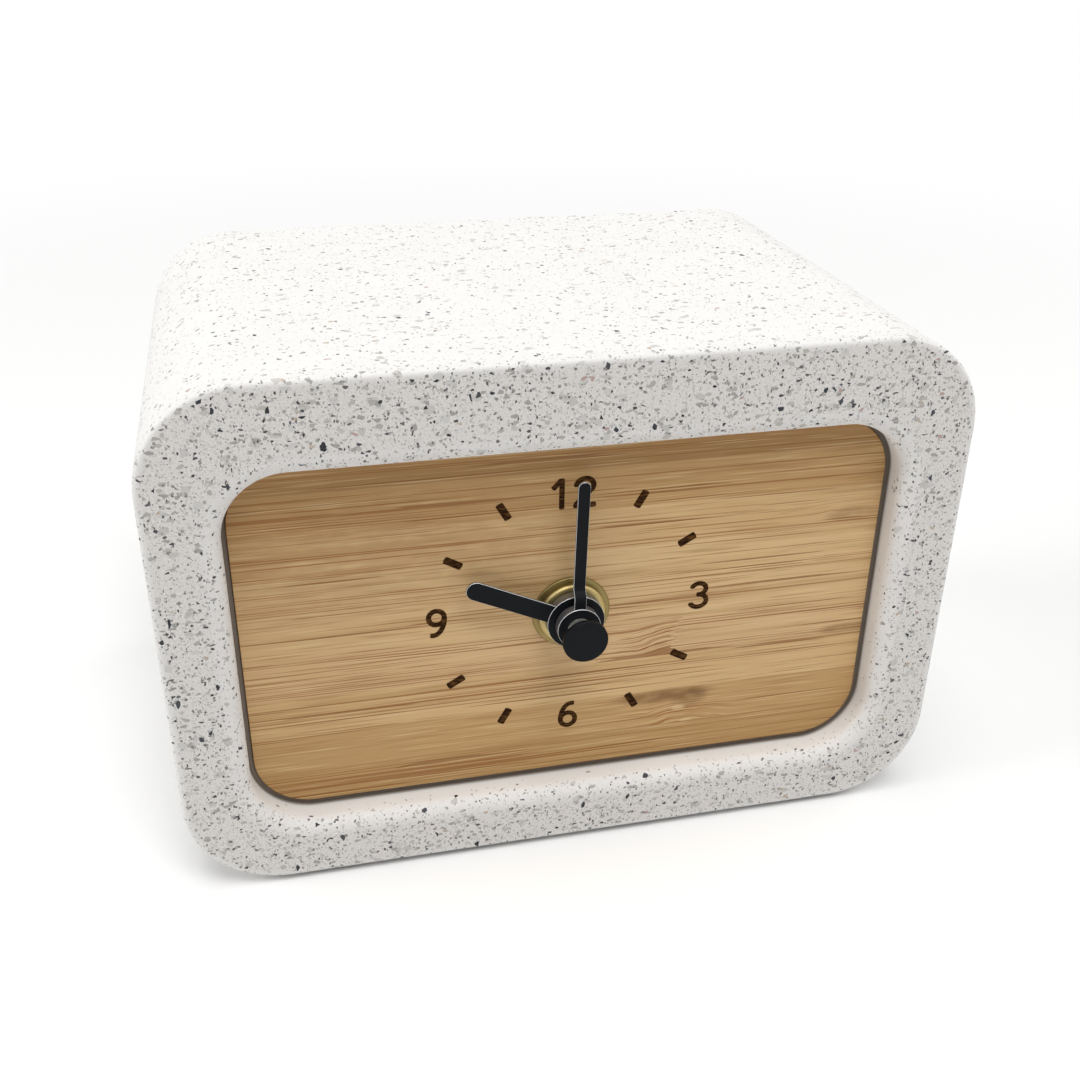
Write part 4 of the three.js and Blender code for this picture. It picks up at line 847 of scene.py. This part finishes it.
strokes = []
for figure, middle in FIGURES:
    for number, stroke in enumerate(figure):
        face = panel_front - MARK_PROUD - number * STROKE_STEP
        path = stroke + middle + hand_axis
        strokes.append(band(path, STROKE, STROKE_ROUND, face, panel_front + MARK_SUNK))
for hour in MARK_HOURS:
    outward = np.array([np.sin(np.pi * hour / 6), np.cos(np.pi * hour / 6)])
    mark = outward * np.array([[MARK_INNER], [MARK_OUTER]]) + hand_axis
    strokes.append(band(mark, MARK_WIDTH, MARK_ROUND, panel_front - MARK_PROUD, panel_front + MARK_SUNK))
mark_parts = [(grid, False, True, np.zeros(len(grid) - 1, int)) for grid in strokes]
dial_marks = make_piece("burnt_dial_marks", mark_parts, [burnt])
settle(dial_marks, "body", "bamboo")

# %% [markdown]
# ## Brass washer and nut
# The movement is held by a brass nut on its threaded bush, over a washer that lies on the bamboo. Both
# are turned parts, so each is a profile spun round the axis of the hands. A plain gloss would make them
# look cast: noise over the radius stands for the rings that the tool left, and a darker rim at the edge
# of the washer and of the nut is painted shade together with the tarnish that stays there.

# %% Brass
# Rings from the tool lie closer on a real nut; they are drawn coarse enough to show
TOOL_MARK = 0.16
TARNISH_SIZE = 2.0
# Rims at the outer edge of the washer and of the nut, darkened by painted shade and some tarnish
WASHER_RIM, NUT_RIM = (5.75, 5.95, 0.0, 1.0), (5.05, 5.2, 0.0, 0.8)
RIM_SHADE_AND_TARNISH = 0.75
BRASS_ROUGHNESS = (0.38, 0.55)
TOOL_STRENGTH, TOOL_DEPTH = 0.25, 0.02

# Turned brass, left bare: olive yellow and shiny, with rings from the lathe tool that spread the highlight
brass, tree, shader = start_material("turned_brass", Metallic=1.0)
place = millimetres(tree)
centred = add(tree, "VectorMath", (place, (hand_axis[0], 0, hand_axis[1])), operation="SUBTRACT")
flat = add(tree, "VectorMath", (centred, (1, 0, 1)), operation="MULTIPLY")
radius = add(tree, "VectorMath", (flat,), out="Value", operation="LENGTH")
turns = add(tree, "Math", (radius, TOOL_MARK), operation="DIVIDE")
tool_rings = add(tree, "TexNoise", {"W": turns, "Scale": 1.0}, noise_dimensions="1D")
tarnish = add(tree, "TexNoise", {"Vector": place, "Scale": 1 / TARNISH_SIZE, "Detail": 3.0})
bare = add(tree, "Mix", {0: tarnish, 6: linear("#AE9A62"), 7: linear("#D2BF8A")}, **COLOURS)
rims = [add(tree, "MapRange", (radius, *span), **SMOOTH) for span in (WASHER_RIM, NUT_RIM)]
rim = add(tree, "Math", rims, operation="MAXIMUM")
# Painted shade with some tarnish darkens both rims
darkened = add(tree, "Math", (rim, RIM_SHADE_AND_TARNISH), operation="MULTIPLY")
colour = add(tree, "Mix", {0: darkened, 6: bare, 7: linear("#5E5028")}, **COLOURS)
roughness = add(tree, "MapRange", (tool_rings, *NOISE_SPAN, *BRASS_ROUGHNESS), **SMOOTH)
dress(tree, shader, colour, roughness, tool_rings, TOOL_STRENGTH, TOOL_DEPTH)
print("brass with tool rings of", TOOL_MARK, "mm")

# %% Washer and nut
EASE = 0.08
BUSH = 4.0
RING_CREASE_DEG = 25
TURNED_RINGS = {
    "turned_washer": {"node": "brass_washer", "play": 0.3, "chamfer": 0.12},
    "turned_nut": {"node": "brass_nut", "play": 0.05, "chamfer": 0.3},
}


def eased_ring(inner, outer, front, back, chamfer):
    """Profile of a flat ring as (radius, depth): a chamfer at the outer front, eased corners elsewhere."""
    return [(inner, front + EASE), (inner + EASE, front), (outer - chamfer, front), (outer, front + chamfer),
            (outer, back - EASE), (outer - EASE, back), (inner + EASE, back), (inner, back - EASE)]


for name, ring in TURNED_RINGS.items():
    low, high = box_mm(ring["node"])
    profile = eased_ring(BUSH + ring["play"], high[0] - hand_axis[0], low[1], high[1], ring["chamfer"])
    skin = (lathe(profile, hand_axis), True, True, np.zeros(len(profile), int))
    settle(make_piece(name, [skin], [brass], RING_CREASE_DEG), "body", "brass", ring["node"])

# %% [markdown]
# ## Hands
# The hands are stamped from sheet aluminium and sprayed black from the front. A thin bare edge between
# the black front and the walls catches the light as a bright line, and the walls are a darker aluminium,
# as painted shade. Each hand has a blade and a turned hub. The minute hand steps back towards the dial
# just outside its hub. A round cap with a short tube closes the stack, where a second hand would sit.

# %% Finish in two tones
CRISP_SPAN = (0.35, 0.65)


def two_tone(name, colours, grain_mm, roughness, relief=0.0, depth_mm=0.03, crisp=True, detail=3.0,
             **constants):
    """A finish in two tones: noise of a size in mm on each axis drives the colour, the gloss and a shallow
    relief. Crisp tones part at the middle of the noise; the others pass softly into one another."""
    material, tree, shader = start_material(name, **constants)
    scale = [1 / size for size in grain_mm]
    place = add(tree, "Mapping", {"Vector": millimetres(tree), "Scale": scale})
    noise = add(tree, "TexNoise", {"Vector": place, "Scale": 1.0, "Detail": detail})
    span = CRISP_SPAN if crisp else NOISE_SPAN
    share = add(tree, "MapRange", (noise, *span), **SMOOTH) if crisp else noise
    colour = add(tree, "Mix", {0: share, 6: linear(colours[0]), 7: linear(colours[1])}, **COLOURS)
    gloss = add(tree, "MapRange", (noise, *span, *roughness), **SMOOTH)
    dress(tree, shader, colour, gloss, noise if relief else None, relief, depth_mm)
    return material


# Spray, blasting and shearing leave a finer grain than this; it is drawn coarse enough to show
SPRAY_GRAIN = (0.12, 0.12, 0.12)
SHEAR_LINES = (0.1, 2.0, 0.1)
SOFT = {"crisp": False, "detail": 2.0}
METAL = {"Metallic": 1.0}

# Black lacquer on aluminium: nearly black, satin, with a fine orange-peel grain
lacquer = two_tone("black_satin_lacquer", ("#0B0D10", "#121519"), SPRAY_GRAIN, (0.38, 0.52), 0.1, 0.01,
                   Specular_IOR_Level=0.1, **SOFT)
# Bare sheared aluminium: light grey and bright, with fine lines from the punch
aluminium = two_tone("sheared_aluminium", ("#C4C6C8", "#DADCDE"), SHEAR_LINES, (0.5, 0.65), **METAL, **SOFT)
# Aluminium of the walls of the hubs and blades: mid grey and half dull, darker than the bare edge as painted
# shade
shaded_walls = two_tone("painted_shade_aluminium", ("#6E6F72", "#9A9B9E"), SPRAY_GRAIN, (0.4, 0.55), **METAL, **SOFT)
# Bead-blasted aluminium of the cap's tube: pale grey and quite dull, so that it takes light from all sides
blasted = two_tone("blasted_aluminium", ("#DCDDDE", "#F0F0F0"), SPRAY_GRAIN, (0.8, 0.95), **METAL, **SOFT)
print("lacquer with a grain of", SPRAY_GRAIN[0], "mm, and three kinds of aluminium")

# %% [markdown]
# ## Blades and hubs
# A blade is a strip of sheet with a round tip. A flat outline with a Solidify modifier would give its
# shape, but the bright cut edge needs a row of faces of its own. So seven rings run from the spine of
# the front over the edge to the spine of the back, and each row between two rings has its own material.
# The hub is turned.

# %% Hand shapes
HAND_SHEET = 0.4
EDGE_BREAK = 0.04
BARE_EDGE = 0.08
# Rings of a blade as (inset, sink below the front, on the spine), and the material of the row after each
BLADE_RINGS = [(0, 0, True), (EDGE_BREAK, 0, False), (0, EDGE_BREAK, False), (0, BARE_EDGE, False),
               (0, HAND_SHEET - EDGE_BREAK, False), (EDGE_BREAK, HAND_SHEET, False), (0, HAND_SHEET, True)]
BLACK, BARE, SHADED_WALLS = 0, 1, 2
BLADE_ROWS = np.array([BLACK, BARE, BARE, SHADED_WALLS, SHADED_WALLS, BLACK])
HUB_ROWS = np.array([BLACK, BARE, SHADED_WALLS, SHADED_WALLS, SHADED_WALLS, SHADED_WALLS])


def blade_loop(width, start, length, inset, sides=40, tip=17):
    """Outline of a blade with a round tip, as (across, along) points, and the spine under each point: the
    sides run at half the width, the tip is a half circle, and the spine keeps along and drops across."""
    half = width / 2 - inset
    turn_at = length - width / 2
    run = np.linspace(start + inset, turn_at, sides)
    turn = np.linspace(0, np.pi, tip)[1:-1]
    across = np.concatenate([np.full(sides, half), half * np.cos(turn), np.full(sides, -half)])
    along = np.concatenate([run, turn_at + half * np.sin(turn), run[::-1]])
    spine = np.minimum(along, turn_at)
    return np.stack([across, along], -1), np.stack([np.zeros_like(spine), spine], -1)


def place_on_dial(points, depth, angle_deg):
    """Turns (across, along) points clockwise by an angle about the hand axis and gives each its depth."""
    turn = np.radians(angle_deg)
    across, along = points[:, 0], points[:, 1]
    x = hand_axis[0] + across * np.cos(turn) + along * np.sin(turn)
    z = hand_axis[1] - across * np.sin(turn) + along * np.cos(turn)
    return np.stack([x, np.broadcast_to(depth, x.shape), z], -1)


def blade(width, start, length, angle_deg, front, step, step_from, step_to):
    """A sheet cut to the blade's outline: front spine, front edge, bare cut edge, back edge, back spine. The
    depth follows a smooth step, 3 t squared minus 2 t cubed, between two distances from the axis."""
    rings = []
    for inset, sink, on_spine in BLADE_RINGS:
        loop = blade_loop(width, start, length, inset)[int(on_spine)]
        share = np.clip((loop[:, 1] - step_from) / (step_to - step_from), 0, 1)
        depth = front + sink + step * share ** 2 * (3 - 2 * share)
        rings.append(place_on_dial(loop, depth, angle_deg))
    return np.stack(rings), False, True, BLADE_ROWS


def hub(bore, radius, front, back, chamfer):
    """A turned hub: black front face, bright chamfer, side and back in darker aluminium as painted shade."""
    profile = [(bore, front), (radius - chamfer, front), (radius, front + chamfer), (radius, back - EASE),
               (radius - EASE, back), (bore, back)]
    return lathe(profile, hand_axis), True, True, HUB_ROWS


print("blades of", HAND_SHEET, "mm sheet with", len(BLADE_RINGS), "rings")

# %% Hour and minute hand
HUB_RIM = 0.05
HAND_SINK = 0.15
STEP_FROM, STEP_TO = 5.0, 6.3
HANDS = {
    "hour_hand": {"body": "hour_train", "bore": 2.55, "hub": 4.4, "hub_height": 1.7, "start": 3.0,
                  "width": 2.9, "length": 18.1, "angle": 295, "step": 0.0},
    "minute_hand": {"body": "minute_train", "bore": 1.8, "hub": 3.3, "hub_height": 1.6, "start": 2.2,
                    "width": 1.8, "length": 23.4, "angle": 1.3, "step": 1.0},
}

for name, hand in HANDS.items():
    hub_front = box_mm(name)[0][1]
    hand_parts = [
        hub(hand["bore"], hand["hub"], hub_front, hub_front + hand["hub_height"], HUB_RIM),
        blade(hand["width"], hand["start"], hand["length"], hand["angle"], hub_front + HAND_SINK,
              hand["step"], STEP_FROM, STEP_TO),
    ]
    piece = make_piece("stamped_" + name, hand_parts, [lacquer, aluminium, shaded_walls])
    settle(piece, hand["body"], "hand_black", name)

# %% [markdown]
# ## Hand cap
# The cap is a lacquered disc on a pale blasted tube, pushed onto the second arbor. It could be two
# cylinders, but one turned profile gives the rounded rim and the bore as well.

# %% Hand cap
CAP_ROUND = 0.22
CAP_DISC, TUBE, TUBE_BORE = 0.8, 1.5, 0.6

cap_low, cap_high = box_mm("hand_cap")
cap_radius = cap_high[0] - hand_axis[0]
cap_front, cap_back = cap_low[1], cap_high[1]
disc_back = cap_front + CAP_DISC
bore_end = box_mm("second_wheel")[0][1] - EASE
cap_rim = [(cap_radius - inset, cap_front + depth) for inset, depth in quarter_round(CAP_ROUND)]
disc = [(0, cap_front), (cap_radius / 2, cap_front), *cap_rim, (cap_radius, disc_back - EASE),
        (cap_radius - EASE, disc_back)]
tube = [(TUBE, disc_back), (TUBE, cap_back - EASE), (TUBE - EASE, cap_back), (TUBE_BORE, cap_back),
        (TUBE_BORE, bore_end), (0, bore_end)]
cap_rows = np.repeat([0, 1], [len(disc), len(tube) - 1])
cap_skin = (lathe(disc + tube, hand_axis), False, True, cap_rows)
cap = make_piece("hand_stack_cap", [cap_skin], [lacquer, blasted])
settle(cap, "second_train", "hand_black", "hand_cap")

# %% [markdown]
# ## Screws of the back
# Four pan-head screws hold the back plate. A head is one surface over a round grid: it falls away from
# its crown as the square of the radius, and a cross for the driver is sunk into it where either of two
# bars covers a point. A boolean cut would do it too, but it leaves long thin faces on the dome.

# %% Screws
HEAD_DOME = 0.3
HEAD_SIDE = 1.5
HEAD_EASE = 0.12
CROSS_HALF_LENGTH, CROSS_HALF_WIDTH, CROSS_DEPTH, CROSS_WALL = 1.2, 0.28, 0.75, 0.1
SHANK = 1.2
# Drawn lines, nine to the millimetre
ZINC_GRAIN = (1 / 1.2, 1 / 1.2, 1 / 9.0)

# Zinc-plated steel: bright bluish grey, with faint drawn lines that break up the reflection
zinc = two_tone("zinc_plated_steel", ("#A4A7AA", "#C4C7C9"), ZINC_GRAIN, (0.28, 0.45), crisp=False, **METAL)


def bar_cover(along, across):
    """1 inside one bar of the cross, 0 outside, and a straight slope over the width of its wall."""
    ends = np.clip((CROSS_HALF_LENGTH - np.abs(along)) / CROSS_WALL, 0, 1)
    return ends * np.clip((CROSS_HALF_WIDTH - np.abs(across)) / CROSS_WALL, 0, 1)


def screw(low, high, rows=40, turns=96):
    """The crown, dome and cross over a polar grid, then the side, underside and shank as further rows."""
    centre, face, head = (low + high)[[0, 2]] / 2, high[1], (high[0] - low[0]) / 2
    length = face - low[1]
    radius = np.concatenate([np.linspace(0, head - HEAD_EASE, rows), [head, head, SHANK, SHANK, 0]])
    below = [HEAD_DOME + HEAD_EASE, HEAD_SIDE, HEAD_SIDE, length, length]
    sink = np.concatenate([HEAD_DOME * np.linspace(0, 1, rows) ** 2, below])
    grid = lathe(np.stack([radius, face - sink], -1), centre, turns)
    x, z = grid[:rows, :, 0] - centre[0], grid[:rows, :, 2] - centre[1]
    cross = np.maximum(bar_cover(x, z), bar_cover(z, x))
    grid[:rows, :, 1] -= cross * np.maximum(CROSS_DEPTH - sink[:rows, None], 0)
    return grid, False, True, np.zeros(len(grid) - 1, int)


screw_nodes = [f"back_screw_{number}" for number in (1, 2, 3, 4)]
back_screws = make_piece("pan_head_screws", [screw(*box_mm(node)) for node in screw_nodes], [zinc])
settle(back_screws, "body", "steel", *screw_nodes)

# %% [markdown]
# ## Finishes of the other parts
# The back plate, the battery door, the movement and the charger keep their CAD shapes. Each could have
# a tree of its own, but they differ in numbers only, so all take the finish in two tones, whose noise
# follows the real grain: even for moulded plastic, drawn out for wire and rolled sheet. The grain of a
# mould or of pressed powder is finer than the sizes here, which are coarse enough to show.

# %% Finishes by slot
FINISHES = {
    # Warm white ABS from a spark-eroded mould: dull, with a fine even grain
    "cover_plastic": two_tone("spark_grained_abs", ("#DEDCD6", "#E8E6E1"), (0.3, 0.3, 0.3), (0.5, 0.68),
                              0.35),
    # Black ABS of the movement: plain and half matte
    "case_plastic": two_tone("black_moulded_abs", ("#1C1E20", "#2A2C2F"), (0.4, 0.4, 0.4), (0.42, 0.58),
                             0.2),
    # Natural acetal of the wheels: milky and slightly waxy
    "gear_plastic": two_tone("natural_acetal", ("#E2DFD3", "#EFECE3"), (0.8, 0.8, 0.8), (0.3, 0.42), 0.05),
    # Grey-white acetal of the setting knob, duller than the wheels
    "knob_plastic": two_tone("ivory_acetal", ("#CFCAC0", "#DEDACF"), (0.5, 0.5, 0.5), (0.38, 0.5), 0.1),
    # Cold-rolled and plated steel: grey, with lines along the rolling direction
    "steel": two_tone("rolled_nickel_steel", ("#9C9EA0", "#BCBEC0"), (4.0, 0.3, 0.3), (0.25, 0.42), 0.1,
                      **METAL),
    # Sintered magnet: dark grey and grainy
    "magnet": two_tone("sintered_magnet", ("#595A5D", "#77787A"), (0.15, 0.15, 0.15), (0.5, 0.7), 0.4,
                       **METAL),
    # Enamelled copper wire: red-brown strands with a varnish gloss
    "copper": two_tone("enamelled_copper_wire", ("#8E4A26", "#C97A48"), (3.0, 3.0, 0.22), (0.22, 0.4), 0.6,
                       **METAL),
    # Solder mask over copper tracks: green, glossy, lighter where a track runs below
    "circuit": two_tone("green_solder_mask", ("#174B2E", "#2A6E47"), (2.5, 0.8, 0.8), (0.25, 0.4), 0.2),
    # Moulded epoxy of the chips: black and matte
    "chip": two_tone("black_epoxy", ("#121314", "#1C1D1E"), (0.12, 0.12, 0.12), (0.6, 0.75), 0.3),
    # Shrunk plastic sleeve of the cell: dark blue with a soft gloss
    "battery_wrap": two_tone("blue_shrink_sleeve", ("#364560", "#455674"), (12.0, 1.5, 1.5), (0.25, 0.35),
                             0.08),
    # Pressed ferrite: dark brown-grey and dry
    "ferrite": two_tone("pressed_ferrite", ("#302E2C", "#423F3C"), (0.3, 0.3, 0.3), (0.6, 0.8), 0.3),
    # Moulded rubber: black and dull
    "rubber": two_tone("black_rubber", ("#222222", "#2E2E2D"), (0.35, 0.35, 0.35), (0.7, 0.85), 0.3),
    "brass": brass,
}
# The brass pipe of the minute hand is nickel plated: a pale ring inside the hand's hub
plated_pipe = two_tone("nickel_plated_brass", ("#B4B4B0", "#CFCFCB"), (0.4, 0.4, 0.4), (0.35, 0.5), 0.05,
                       **METAL)
FINISH_OF_NODE = {"cannon_pinion": plated_pipe}
dressed = 0
for part in frame["record"]["subparts"]:
    material = FINISH_OF_NODE.get(part["node"], FINISHES.get(part["material_slot"]))
    if material:
        frame["nodes"][part["node"]].material_slots[0].material = material
        dressed += 1
print(dressed, "CAD parts took a finish")
